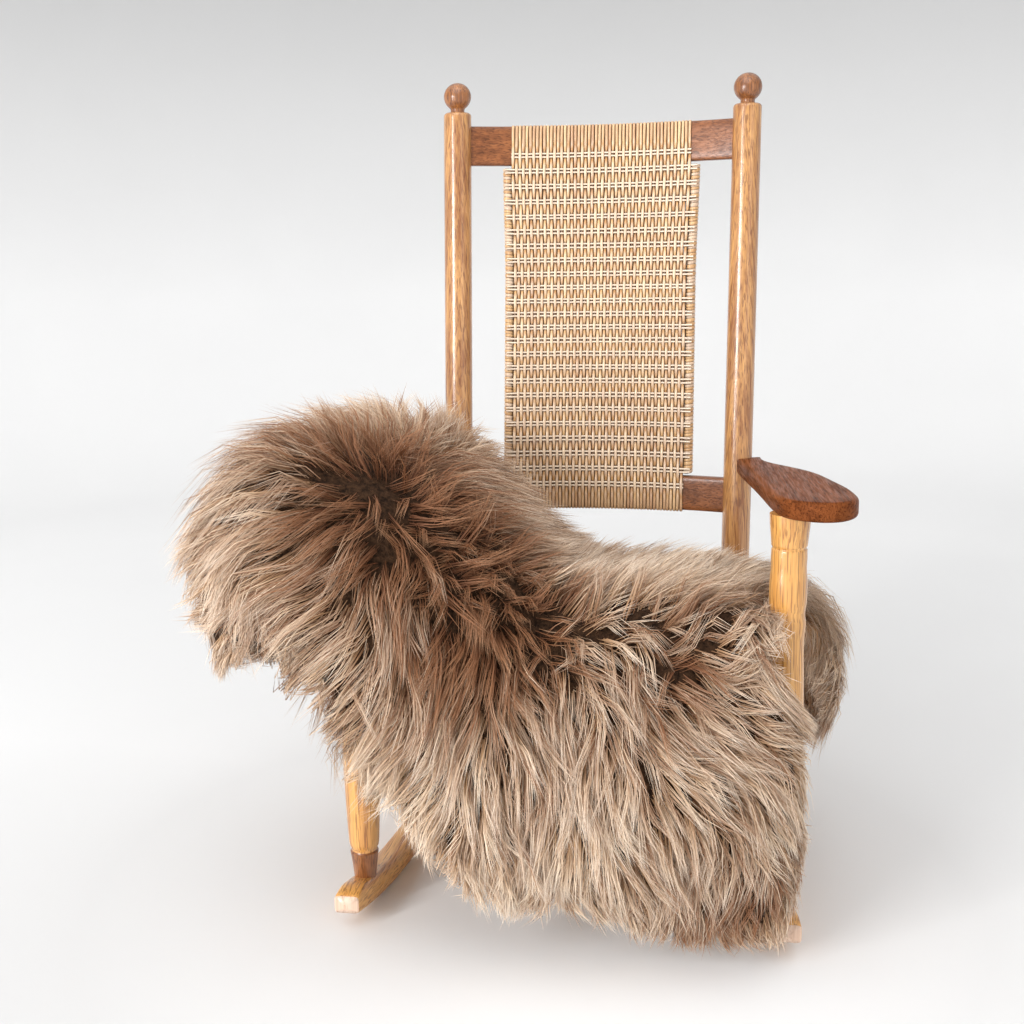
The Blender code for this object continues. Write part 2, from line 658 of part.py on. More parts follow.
def main():
    clear_scene()
    pieces = []
    for side in SIDES:
        pieces += [back_post(side), front_post(side), rocker(side), arm(side)]
    pieces += back_rails_and_cane()
    pieces.append(seat())
    pieces += stretchers()
    pieces.append(fleece())
    stand = bpy.data.objects.new("rug_and_chair", None)
    bpy.context.scene.collection.objects.link(stand)
    for obj in bpy.data.objects:
        if obj is not stand:
            obj.parent = stand
    stand.location = (-PART_CENTRE[0], -PART_CENTRE[1], 0)


main()
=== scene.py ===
"""A long-wool sheepskin rug over the seat and left arm of a porch rocking chair, in full detail.

Metres, +Z up, front of the chair towards -Y. Shapes are worked out in the chair's own frame, whose
zero is the floor midway between the front legs, and PART_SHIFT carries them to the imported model's
frame.
"""

import logging
import math
from dataclasses import dataclass
from enum import Enum
from functools import cache
from typing import Callable, Sequence

import bmesh
import bpy
import mathutils
import numpy as np
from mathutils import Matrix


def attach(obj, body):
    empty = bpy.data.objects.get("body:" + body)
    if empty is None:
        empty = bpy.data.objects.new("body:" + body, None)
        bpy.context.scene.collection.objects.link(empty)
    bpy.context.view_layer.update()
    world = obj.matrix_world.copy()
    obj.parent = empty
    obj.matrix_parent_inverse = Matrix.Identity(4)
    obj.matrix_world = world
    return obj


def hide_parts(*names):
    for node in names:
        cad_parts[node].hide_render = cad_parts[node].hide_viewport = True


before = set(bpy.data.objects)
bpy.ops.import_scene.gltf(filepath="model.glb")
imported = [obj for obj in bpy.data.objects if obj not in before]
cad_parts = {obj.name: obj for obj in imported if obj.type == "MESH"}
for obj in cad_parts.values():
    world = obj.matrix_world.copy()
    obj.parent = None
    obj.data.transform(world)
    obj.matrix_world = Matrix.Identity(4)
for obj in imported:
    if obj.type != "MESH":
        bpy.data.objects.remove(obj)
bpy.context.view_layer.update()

log = logging.getLogger("rug_and_chair")
PART_SHIFT = np.array([0.0606, -0.2521, 0.0])
Colour = tuple[float, float, float, float]
Outline = list[tuple[float, float]]
Place = tuple[float, float, float]
Curve = tuple[tuple[float, float], ...]
Number = np.ndarray | float
Piece = bpy.types.Object
Material = bpy.types.Material
Socket = bpy.types.NodeSocket


class Grain(Enum):
    """Which way the wood's grain runs, as the squeeze that a pattern on Object coordinates gets."""

    UP = (1.0, 1.0, 0.022)
    BACKWARDS = (1.0, 0.022, 1.0)
    ACROSS = (0.022, 1.0, 1.0)


class Side(Enum):
    """The chair's two sides, with the sign of x there."""

    LEFT = -1
    RIGHT = 1

    @property
    def word(self) -> str:
        """The side's name in a piece's name."""
        return self.name.lower()


def tint(code: str) -> Colour:
    """The linear colour of an sRGB code.

    Args:
        code: six hexadecimal digits, such as "c8ac88".

    Returns:
        Red, green, blue and an alpha of 1, by the sRGB curve.
    """
    parts = np.array([int(code[k:k + 2], 16) / 255 for k in (0, 2, 4)])
    linear = np.where(parts <= 0.04045, parts / 12.92, ((parts + 0.055) / 1.055) ** 2.4)
    return (*linear.tolist(), 1.0)


# Surfaces

def grid_quads(rows: int, columns: int, wrap_rows: bool = False, wrap_columns: bool = False) -> np.ndarray:
    """The quads between neighbouring places of a grid.

    Args:
        rows: places along the first way.
        columns: places along the second way.
        wrap_rows: whether the last row joins the first.
        wrap_columns: whether the last column joins the first.

    Returns:
        Vertex numbers, four for each quad, counting along the rows.
    """
    number = np.arange(rows * columns).reshape(rows, columns)
    if wrap_rows:
        number = np.vstack([number, number[:1]])
    if wrap_columns:
        number = np.hstack([number, number[:, :1]])
    corners = (number[:-1, :-1], number[1:, :-1], number[1:, 1:], number[:-1, 1:])
    return np.stack([corner.ravel() for corner in corners], axis=1)


def fill_mesh(name: str, points: np.ndarray, faces: np.ndarray) -> Piece:
    """A smooth mesh object at the origin from points of the chair's frame.

    Args:
        name: the object's name.
        points: places, one row each, in the chair's frame.
        faces: vertex numbers, three or four for each face.

    Returns:
        The new object, linked to the scene.
    """
    mesh = bpy.data.meshes.new(name)
    placed = (points.reshape(-1, 3) + PART_SHIFT).astype(np.float32)
    mesh.vertices.add(len(placed))
    mesh.vertices.foreach_set("co", placed.ravel())
    mesh.loops.add(faces.size)
    mesh.loops.foreach_set("vertex_index", faces.ravel().astype(np.int32))
    mesh.polygons.add(len(faces))
    mesh.polygons.foreach_set("loop_start", np.arange(len(faces), dtype=np.int32) * faces.shape[1])
    mesh.polygons.foreach_set("use_smooth", np.ones(len(faces), dtype=bool))
    mesh.update(calc_edges=True)
    mesh.validate()
    made = bpy.data.objects.new(name, mesh)
    bpy.context.scene.collection.objects.link(made)
    return made


def seal(piece: Piece, crease: float = 180.0, poles: bool = True) -> None:
    """Merges doubled points, so that poles and seams close, and turns every face outwards.

    Args:
        piece: the object to tidy.
        crease: edges sharper than this many degrees are shaded as edges.
        poles: whether there are doubled points to merge.
    """
    work = bmesh.new()
    work.from_mesh(piece.data)
    if poles:
        bmesh.ops.remove_doubles(work, verts=work.verts, dist=2e-6)
    bmesh.ops.recalc_face_normals(work, faces=work.faces)
    work.to_mesh(piece.data)
    work.free()
    if crease < 180:
        piece.data.set_sharp_from_angle(angle=math.radians(crease))


def skin(name: str, grid: np.ndarray, wrap_rows: bool = False, crease: float = 180.0,
         poles: bool = True) -> Piece:
    """One closed piece from a grid of points, or several pieces of the same layout in one mesh.

    Args:
        name: the object's name.
        grid: points as (rows, columns, 3), or as (pieces, rows, columns, 3).
        wrap_rows: whether the last row joins the first, as the last column always does.
        crease: edges sharper than this many degrees are shaded as edges.
        poles: whether doubled points are merged.

    Returns:
        The sealed object.
    """
    stack = grid[None] if grid.ndim == 3 else grid
    pieces, rows, columns = stack.shape[:3]
    quads = grid_quads(rows, columns, wrap_rows, wrap_columns=True)
    faces = (quads[None] + (np.arange(pieces) * rows * columns)[:, None, None]).reshape(-1, 4)
    made = fill_mesh(name, stack, faces)
    seal(made, crease, poles)
    return made


def mark(piece: Piece, shape: tuple[int, ...], **marks: Number) -> None:
    """Stores numbers for the points of a mesh as named attributes.

    Args:
        piece: the object.
        shape: the shape of its grid of points.
        marks: for each attribute's name its numbers, which are spread over that shape.
    """
    for name, values in marks.items():
        layer = piece.data.attributes.new(name, "FLOAT", "POINT")
        spread = np.ascontiguousarray(np.broadcast_to(values, shape), dtype=np.float32)
        layer.data.foreach_set("value", spread.ravel())


def soft_step(values: np.ndarray, low: float, high: float) -> np.ndarray:
    """A smooth rise from 0 at low to 1 at high: 3t squared less 2t cubed."""
    share = np.clip((values - low) / (high - low), 0, 1)
    return share * share * (3 - 2 * share)


def spots(x: Number, y: Number, z: Number) -> np.ndarray:
    """Places from their three parts, each spread over the shape that all three fit."""
    return np.stack(np.broadcast_arrays(x, y, z), axis=-1)


def full_turn(count: int) -> np.ndarray:
    """Angles evenly round a circle, from 0."""
    return 2 * math.pi * np.arange(count) / count


def squircle(count: int, wide: float, tall: float, power: float) -> np.ndarray:
    """A rounded rectangle: x and y are cosine and sine, each raised to 2 / power with its sign kept.

    Args:
        count: number of points round it.
        wide: its width.
        tall: its height.
        power: 2 is an ellipse, and a higher power has squarer corners.

    Returns:
        The points, as (count, 2).
    """
    turn = 2 * math.pi * (np.arange(count) + 0.5) / count
    cosine, sine = np.cos(turn), np.sin(turn)
    return np.stack([np.sign(cosine) * np.abs(cosine) ** (2 / power) * wide / 2,
                     np.sign(sine) * np.abs(sine) ** (2 / power) * tall / 2], axis=1)


def spline_weights(knots: np.ndarray, samples: np.ndarray) -> np.ndarray:
    """The matrix that turns values at the knots into a natural cubic spline's values at the samples.

    The second slopes at the knots solve the usual three-term system, and each sample mixes the two
    knots beside it, linearly and by the cubic terms of those slopes.

    Args:
        knots: rising places of the given values.
        samples: places where values are wanted.

    Returns:
        Weights, as (samples, knots).
    """
    knots, samples = np.asarray(knots, float), np.asarray(samples, float)
    count, step = len(knots), np.diff(knots)
    inner = np.arange(1, count - 1)
    system, right = np.eye(count), np.zeros((count, count))
    system[inner, inner - 1], system[inner, inner + 1] = step[:-1], step[1:]
    system[inner, inner] = 2 * (step[:-1] + step[1:])
    right[inner, inner - 1], right[inner, inner + 1] = 6 / step[:-1], 6 / step[1:]
    right[inner, inner] = -6 / step[:-1] - 6 / step[1:]
    bend = np.linalg.solve(system, right)
    span = np.clip(np.searchsorted(knots, samples) - 1, 0, count - 2)
    wide = step[span]
    low, high = (knots[span + 1] - samples) / wide, (samples - knots[span]) / wide
    unit = np.eye(count)
    return (low[:, None] * unit[span] + high[:, None] * unit[span + 1]
            + ((low**3 - low) * wide**2 / 6)[:, None] * bend[span]
            + ((high**3 - high) * wide**2 / 6)[:, None] * bend[span + 1])


def follow(curve: Curve, place: np.ndarray) -> np.ndarray:
    """The value at a place of a line through (place, value) rows."""
    places, values = zip(*curve)
    return np.interp(place, places, values)


def smooth_line(points: Sequence[Sequence[float]], count: int) -> np.ndarray:
    """A natural cubic spline through points, by the length between them.

    Args:
        points: the places it passes.
        count: how many places are wanted.

    Returns:
        Evenly spaced places, as (count, dimensions).
    """
    given = np.array(points, float)
    knots = np.concatenate([[0.0], np.cumsum(np.linalg.norm(np.diff(given, axis=0), axis=1))])
    return spline_weights(knots, np.linspace(0, knots[-1], count)) @ given


# Finishes

class Wiring:
    """A node tree, with short ways to add a node and to join two sockets."""

    def __init__(self, tree: bpy.types.NodeTree) -> None:
        """Keeps the tree."""
        self.tree = tree

    def add(self, kind: str, inputs: dict[str | int, object] | None = None,
            **settings: object) -> bpy.types.Node:
        """Adds a node.

        Args:
            kind: the node's type, without its first word ShaderNode.
            inputs: what its inputs get, as in feed.
            settings: attributes to set on it.

        Returns:
            The node.
        """
        node = self.tree.nodes.new("ShaderNode" + kind)
        for name, value in settings.items():
            setattr(node, name, value)
        self.feed(node, inputs or {})
        return node

    def feed(self, node: bpy.types.Node, inputs: dict[str | int, object]) -> None:
        """Fills a node's inputs, by name or number: an output is linked, and any other value is set."""
        for name, value in inputs.items():
            if isinstance(value, Socket):
                self.tree.links.new(value, node.inputs[name])
            else:
                node.inputs[name].default_value = value

    def place(self, grain: Grain | None = None) -> Socket:
        """Object coordinates, squeezed along the grain where one is given."""
        where = self.add("TexCoord").outputs["Object"]
        if grain is None:
            return where
        return self.add("Mapping", {"Vector": where, "Scale": grain.value}).outputs["Vector"]

    def split(self, vector: Socket) -> bpy.types.bpy_prop_collection:
        """A vector's three parts, by the names X, Y and Z."""
        return self.add("SeparateXYZ", {"Vector": vector}).outputs

    def distance(self, place: Socket, centre: Place) -> Socket:
        """The distance of a place from a centre."""
        return self.add("VectorMath", {0: place, 1: centre}, operation="DISTANCE").outputs["Value"]

    def weigh(self, *terms: tuple[Socket, float]) -> Socket:
        """The sum of some sockets, each times its own number."""
        scaled = [self.sum("MULTIPLY", socket, weight) for socket, weight in terms]
        total = scaled[0]
        for part in scaled[1:]:
            total = self.sum("ADD", total, part)
        return total

    def coat(self, shader: bpy.types.Node, group: bpy.types.Node, colours: dict[str, str]) -> None:
        """Sets a grain group's colours and leads its colour and roughness to a shader."""
        self.feed(group, {label: tint(code) for label, code in colours.items()})
        self.feed(shader, {"Base Color": group.outputs["Colour"], "Roughness": group.outputs["Roughness"]})

    def noise(self, place: Socket, scale: float, detail: float = 3.0, roughness: float = 0.55) -> Socket:
        """A noise of the given scale at a place, from about 0.3 to 0.7."""
        return self.add("TexNoise", {"Vector": place, "Scale": scale, "Detail": detail,
                                     "Roughness": roughness}).outputs["Fac"]

    def spread(self, value: Socket, low: float, high: float, start: float = 0.0, end: float = 1.0) -> Socket:
        """Maps a value's range low to high on start to end, and keeps it there."""
        return self.add("MapRange", {"Value": value, "From Min": low, "From Max": high, "To Min": start,
                                     "To Max": end}, clamp=True).outputs["Result"]

    def sum(self, operation: str, first: Socket | float, second: Socket | float = 0.0) -> Socket:
        """The result of a Math node on one or two sockets or numbers."""
        return self.add("Math", {0: first, 1: second}, operation=operation).outputs["Value"]

    def blend(self, share: Socket | float, first: Socket | Colour, second: Socket | Colour,
              way: str = "MIX") -> Socket:
        """Two colours mixed by share in the given way."""
        return self.add("Mix", {0: share, 6: first, 7: second}, data_type="RGBA", blend_type=way).outputs[2]

    def ramp(self, value: Socket, stops: Sequence[tuple[float, Colour]]) -> Socket:
        """A colour ramp's colour at a value."""
        node = self.add("ValToRGB", {"Fac": value})
        band = node.color_ramp.elements
        while len(band) < len(stops):
            band.new(0.5)
        for stop, (place, colour) in zip(band, stops):
            stop.position = place
            stop.color = colour
        return node.outputs["Color"]


def new_group(name: str, inputs: dict[str, tuple[str, object]], outputs: dict[str, str]
              ) -> tuple[Wiring, bpy.types.Node, bpy.types.Node, bpy.types.NodeTree]:
    """An empty shader node group with named sockets.

    Args:
        name: the group's name.
        inputs: for each input, its socket type's last word and its default, or None.
        outputs: for each output, its socket type's last word.

    Returns:
        The group's wiring, its input node, its output node and the group.
    """
    tree = bpy.data.node_groups.new(name, "ShaderNodeTree")
    for label, (kind, default) in inputs.items():
        socket = tree.interface.new_socket(name=label, in_out="INPUT", socket_type="NodeSocket" + kind)
        if default is not None:
            socket.default_value = default
    for label, kind in outputs.items():
        tree.interface.new_socket(name=label, in_out="OUTPUT", socket_type="NodeSocket" + kind)
    wires = Wiring(tree)
    return wires, tree.nodes.new("NodeGroupInput"), tree.nodes.new("NodeGroupOutput"), tree


@cache
def oak_grain_group() -> bpy.types.NodeTree:
    """The group for varnished oak: colour, roughness and height from a place squeezed along the grain.

    Wide bands and fine fibres mix two browns, and short dark dashes stand for the open pores.

    Returns:
        The node group.
    """
    wires, given, result, tree = new_group(
        "oak grain",
        {"Place": ("Vector", None), "Light": ("Color", (1, 1, 1, 1)), "Dark": ("Color", (0, 0, 0, 1)),
         "Pore": ("Color", (0, 0, 0, 1)), "Bands": ("Float", 1.0)},
        {"Colour": "Color", "Roughness": "Float", "Height": "Float"})
    place = given.outputs["Place"]
    bands = wires.spread(wires.noise(place, 70.0, 3.0, 0.6), 0.38, 0.62)
    fibres = wires.spread(wires.noise(place, 330.0, 3.0, 0.6), 0.38, 0.62)
    strength = wires.sum("MULTIPLY", bands, given.outputs["Bands"])
    share = wires.weigh((strength, 0.55), (fibres, 0.45))
    body = wires.blend(share, given.outputs["Light"], given.outputs["Dark"])
    pores = wires.spread(wires.noise(place, 560.0, 2.0, 0.5), 0.545, 0.62)
    colour = wires.blend(wires.sum("MULTIPLY", pores, 0.62), body, given.outputs["Pore"])
    wires.feed(result, {"Colour": colour, "Roughness": wires.spread(fibres, 0.0, 1.0, 0.30, 0.46),
                        "Height": wires.sum("SUBTRACT", wires.sum("MULTIPLY", fibres, 0.4), pores)})
    return tree


@cache
def fibre_group() -> bpy.types.NodeTree:
    """The group for split cane: colour and height along a strand, with painted shade at its edges and a
    painted highlight, partly wear, on its crests.

    Returns:
        The node group.
    """
    wires, given, result, tree = new_group(
        "cane fibre",
        {"Place": ("Vector", None), "Tone": ("Float", 0.5), "Edge": ("Float", 0.0), "Crest": ("Float", 0.0),
         "Light": ("Color", (1, 1, 1, 1)), "Dark": ("Color", (0, 0, 0, 1)), "Seam": ("Color", (0, 0, 0, 1)),
         "Highlight_and_wear": ("Color", (1, 1, 1, 1))},
        {"Colour": "Color", "Roughness": "Float", "Height": "Float"})
    place = given.outputs["Place"]
    streaks = wires.spread(wires.noise(place, 700.0, 3.0, 0.6), 0.34, 0.66)
    patches = wires.spread(wires.noise(place, 60.0, 2.0, 0.5), 0.36, 0.64)
    share = wires.weigh((given.outputs["Tone"], 0.55), (streaks, 0.30), (patches, 0.25))
    body = wires.blend(wires.spread(share, 0.10, 1.0), given.outputs["Light"], given.outputs["Dark"])
    # The crest mixes in the palest colour: a painted highlight, partly wear.
    body = wires.blend(wires.sum("MULTIPLY", given.outputs["Crest"], 0.75), body, given.outputs["Highlight_and_wear"])
    # The edge mixes in the darkest colour: painted shade between and under the strands.
    edge = wires.spread(given.outputs["Edge"], 0.35, 1.0)
    colour = wires.blend(wires.sum("MULTIPLY", edge, 0.94), body, given.outputs["Seam"])
    wires.feed(result, {"Colour": colour, "Roughness": wires.spread(streaks, 0.0, 1.0, 0.30, 0.50),
                        "Height": streaks})
    return tree


def blank_material(name: str) -> tuple[Material, Wiring, bpy.types.Node]:
    """A material with a Principled shader.

    Args:
        name: the material's name.

    Returns:
        The material, its wiring and the shader.
    """
    made = bpy.data.materials.new(name)
    made.use_nodes = True
    return made, Wiring(made.node_tree), made.node_tree.nodes["Principled BSDF"]


def bump(wires: Wiring, shader: bpy.types.Node, height: Socket, depth: float,
         strength: float = 1.0) -> None:
    """Bends a shader's normal by a height.

    Args:
        wires: the material's wiring.
        shader: the Principled shader.
        height: the height, from 0 to 1.
        depth: what a height of 1 stands for, in metres.
        strength: how much of it is used.
    """
    node = wires.add("Bump", {"Height": height, "Distance": depth, "Strength": strength})
    wires.feed(shader, {"Normal": node.outputs["Normal"]})


@dataclass(frozen=True)
class OakFinish:
    """Varnished oak in one tone, with its grain one way."""

    name: str
    light: str
    dark: str
    pore: str
    grain: Grain
    bands: float = 1.0
    varnish: float = 0.55
    shine: float = 0.5

    @cache
    def material(self) -> Material:
        """The finish as a material, made once."""
        made, wires, shader = blank_material(f"{self.name} {self.grain.name.lower()}")
        grain = wires.add("Group", node_tree=oak_grain_group())
        wires.feed(grain, {"Place": wires.place(self.grain), "Bands": self.bands})
        wires.coat(shader, grain, {"Light": self.light, "Dark": self.dark, "Pore": self.pore})
        wires.feed(shader, {"Specular IOR Level": self.shine, "Coat Weight": self.varnish,
                            "Coat Roughness": 0.16})
        bump(wires, shader, grain.outputs["Height"], 0.00025, 0.5)
        return made


@dataclass(frozen=True)
class CaneFinish:
    """Split cane, with its fibres one way."""

    name: str
    light: str
    dark: str
    seam: str
    highlight_and_wear: str
    grain: Grain

    def material(self) -> Material:
        """The finish as a material, which reads the attributes tone, edge and crest: edge brings painted
        shade, and crest a painted highlight that is partly wear.
        """
        made, wires, shader = blank_material(f"{self.name} {self.grain.name.lower()}")
        fibre = wires.add("Group", node_tree=fibre_group())
        wires.feed(fibre, {"Place": wires.place(self.grain)})
        for label in ("tone", "edge", "crest"):
            read = wires.add("Attribute", attribute_name=label)
            wires.feed(fibre, {label.capitalize(): read.outputs["Fac"]})
        wires.coat(shader, fibre, {"Light": self.light, "Dark": self.dark, "Seam": self.seam,
                                   "Highlight_and_wear": self.highlight_and_wear})
        wires.feed(shader, {"Coat Weight": 0.35, "Coat Roughness": 0.22})
        bump(wires, shader, fibre.outputs["Height"], 0.00015, 0.4)
        return made


@dataclass(frozen=True)
class WovenSeatFinish:
    """The seat's weave on the plain slab: strands from front to back, over and under pairs across."""

    light: str = "c99c5a"
    dark: str = "8a5f2c"
    seam: str = "3a2414"
    pitch: float = 0.0056
    pair: float = 0.024

    def material(self) -> Material:
        """The finish as a material.

        A strand's crown is the absolute sine of x over the pitch. Every second strand dips where
        the sine of y over the pair spacing is high, and the others where it is low. Painted shade
        darkens the strands between their crowns and where they dip.
        """
        made, wires, shader = blank_material("woven seat")
        parts = wires.split(wires.place())
        turns = wires.sum("DIVIDE", parts["X"], self.pitch)
        crown = wires.sum("ABSOLUTE", wires.sum("SINE", wires.sum("MULTIPLY", turns, math.pi)))
        strand = wires.sum("FLOOR", turns)
        phase = wires.weigh((wires.sum("DIVIDE", parts["Y"], self.pair), math.pi), (strand, math.pi))
        wave = wires.spread(wires.sum("SINE", phase), -1.0, 1.0)
        tone = wires.add("TexWhiteNoise", {"W": strand}, noise_dimensions="1D")
        # Painted shade between the strands and where each dips under a pair, mixed in through Edge.
        high = wires.sum("MULTIPLY", crown, wires.spread(wave, 0.05, 0.5, 0.45, 1.0))
        fibre = wires.add("Group", node_tree=fibre_group())
        wires.feed(fibre, {"Place": wires.place(Grain.BACKWARDS), "Tone": tone.outputs["Value"],
                           "Edge": wires.sum("SUBTRACT", 1.0, high)})
        wires.coat(shader, fibre, {"Light": self.light, "Dark": self.dark, "Seam": self.seam})
        height = wires.sum("MULTIPLY", crown, wires.sum("ADD", wires.sum("MULTIPLY", wave, 0.7), 0.3))
        bump(wires, shader, height, 0.0016, 0.9)
        return made


@dataclass(frozen=True)
class WoolFinish:
    """Long wool: dark at the root, light at the tip, in tones that differ from lock to lock.

    It reads only the strands' own map OFBake, where x is the tone and y goes from root to tip.
    """

    light: tuple[str, ...] = ("38220f", "8c6343", "cfa67c", "f3dec4", "faf0e2")
    dark: tuple[str, ...] = ("140a05", "341a0d", "60371f", "8a5b39", "b88e6b")
    warm: str = "9a6545"
    warmest: float = 0.30
    stops: tuple[float, ...] = (0.0, 0.25, 0.50, 0.78, 1.0)

    def material(self) -> Material:
        """The finish as a material."""
        made, wires, shader = blank_material("long wool")
        parts = wires.split(wires.add("UVMap", uv_map="OFBake").outputs["UV"])
        tone, along = parts["X"], parts["Y"]
        pale = wires.ramp(along, [(s, tint(c)) for s, c in zip(self.stops, self.light)])
        deep = wires.ramp(along, [(s, tint(c)) for s, c in zip(self.stops, self.dark)])
        body = wires.blend(tone, deep, pale)
        flicker = wires.add("TexNoise", {"W": tone, "Scale": 90.0, "Detail": 1.0}, noise_dimensions="1D")
        warm = wires.spread(flicker.outputs["Fac"], 0.42, 0.72, 0.0, self.warmest)
        wires.feed(shader, {"Base Color": wires.blend(warm, body, tint(self.warm)),
                            "Roughness": wires.spread(along, 0.0, 1.0, 0.75, 0.50),
                            "Specular IOR Level": 0.30})
        return made


@dataclass(frozen=True)
class UndercoatFinish:
    """The short wool close to the hide, seen only as the dark between locks."""

    light: str = "4a3424"
    dark: str = "1d120b"

    def material(self) -> Material:
        """The finish as a material."""
        made, wires, shader = blank_material("short wool")
        curl = wires.noise(wires.place(), 140.0, 4.0, 0.7)
        colour = wires.blend(wires.spread(curl, 0.35, 0.65), tint(self.dark), tint(self.light))
        wires.feed(shader, {"Base Color": colour, "Roughness": wires.spread(curl, 0.3, 0.7, 0.95, 0.85),
                            "Specular IOR Level": 0.10})
        bump(wires, shader, curl, 0.004)
        return made


@dataclass(frozen=True)
class HideFinish:
    """The skin side of the hide: pale napped leather with faint creases."""

    light: str = "cdb493"
    dark: str = "a4835f"

    def material(self) -> Material:
        """The finish as a material."""
        made, wires, shader = blank_material("hide")
        place = wires.place()
        nap = wires.noise(place, 900.0, 2.0, 0.6)
        share = wires.weigh((wires.noise(place, 18.0, 4.0, 0.6), 0.8), (nap, 0.2))
        colour = wires.blend(wires.spread(share, 0.38, 0.62), tint(self.dark), tint(self.light))
        wires.feed(shader, {"Base Color": colour, "Roughness": wires.spread(nap, 0.3, 0.7, 0.80, 0.92),
                            "Sheen Weight": 0.25})
        bump(wires, shader, nap, 0.0004, 0.6)
        return made


@dataclass(frozen=True)
class FloorFinish:
    """The studio's pale paper, with painted shade high up, in a ring round the rug and where the key light
    is near.
    """

    colour: str = "fbfbfb"
    high_from: float = 0.7
    high_to: float = 2.8
    high: float = 0.62
    rug_centre: Place = (0.0, -0.15, 0.0)
    ring_from: float = 0.28
    ring_to: float = 0.58
    ring_fades: tuple[float, float] = (0.9, 2.6)
    ring: float = 0.84
    key_centre: Place = (-0.9, -1.0, 0.0)
    key_reach: tuple[float, float] = (0.3, 1.25)
    painted_shade_near_key: float = 0.78

    def grey(self, part: float) -> Colour:
        """The paper's colour times a part."""
        return tuple(part * k for k in tint(self.colour)[:3]) + (1.0,)

    def material(self) -> Material:
        """The finish as a material.

        Close round the rug, where it keeps light off, the paper is at its palest, which is painted
        light; it has painted shade a step further out and where the key light stands near, and is pale again
        behind.
        """
        made, wires, shader = blank_material("studio paper")
        place = wires.place()
        cloud = wires.spread(wires.noise(place, 1.5, 2.0, 0.5), 0.35, 0.65)
        paper = wires.blend(cloud, self.grey(0.98), self.grey(1.0))
        # Painted light close round the rug and painted shade in a ring further out.
        away = wires.distance(place, self.rug_centre)
        painted_ring_shade = wires.sum("MULTIPLY", wires.spread(away, self.ring_from, self.ring_to),
                        wires.spread(away, *self.ring_fades, 1.0, 0.0))
        paper = wires.blend(painted_ring_shade, paper, self.grey(self.ring))
        # Painted shade where the key light stands near.
        painted_key_shade = wires.spread(wires.distance(place, self.key_centre), *self.key_reach, 1.0, 0.0)
        paper = wires.blend(painted_key_shade, paper, wires.blend(1.0, paper, self.grey(self.painted_shade_near_key), "MULTIPLY"))
        # Painted shade high up on the backdrop.
        rise = wires.spread(wires.split(place)["Z"], self.high_from, self.high_to)
        wires.feed(shader, {"Base Color": wires.blend(rise, paper, self.grey(self.high)),
                            "Roughness": 0.92, "Specular IOR Level": 0.08})
        return made


# The chair

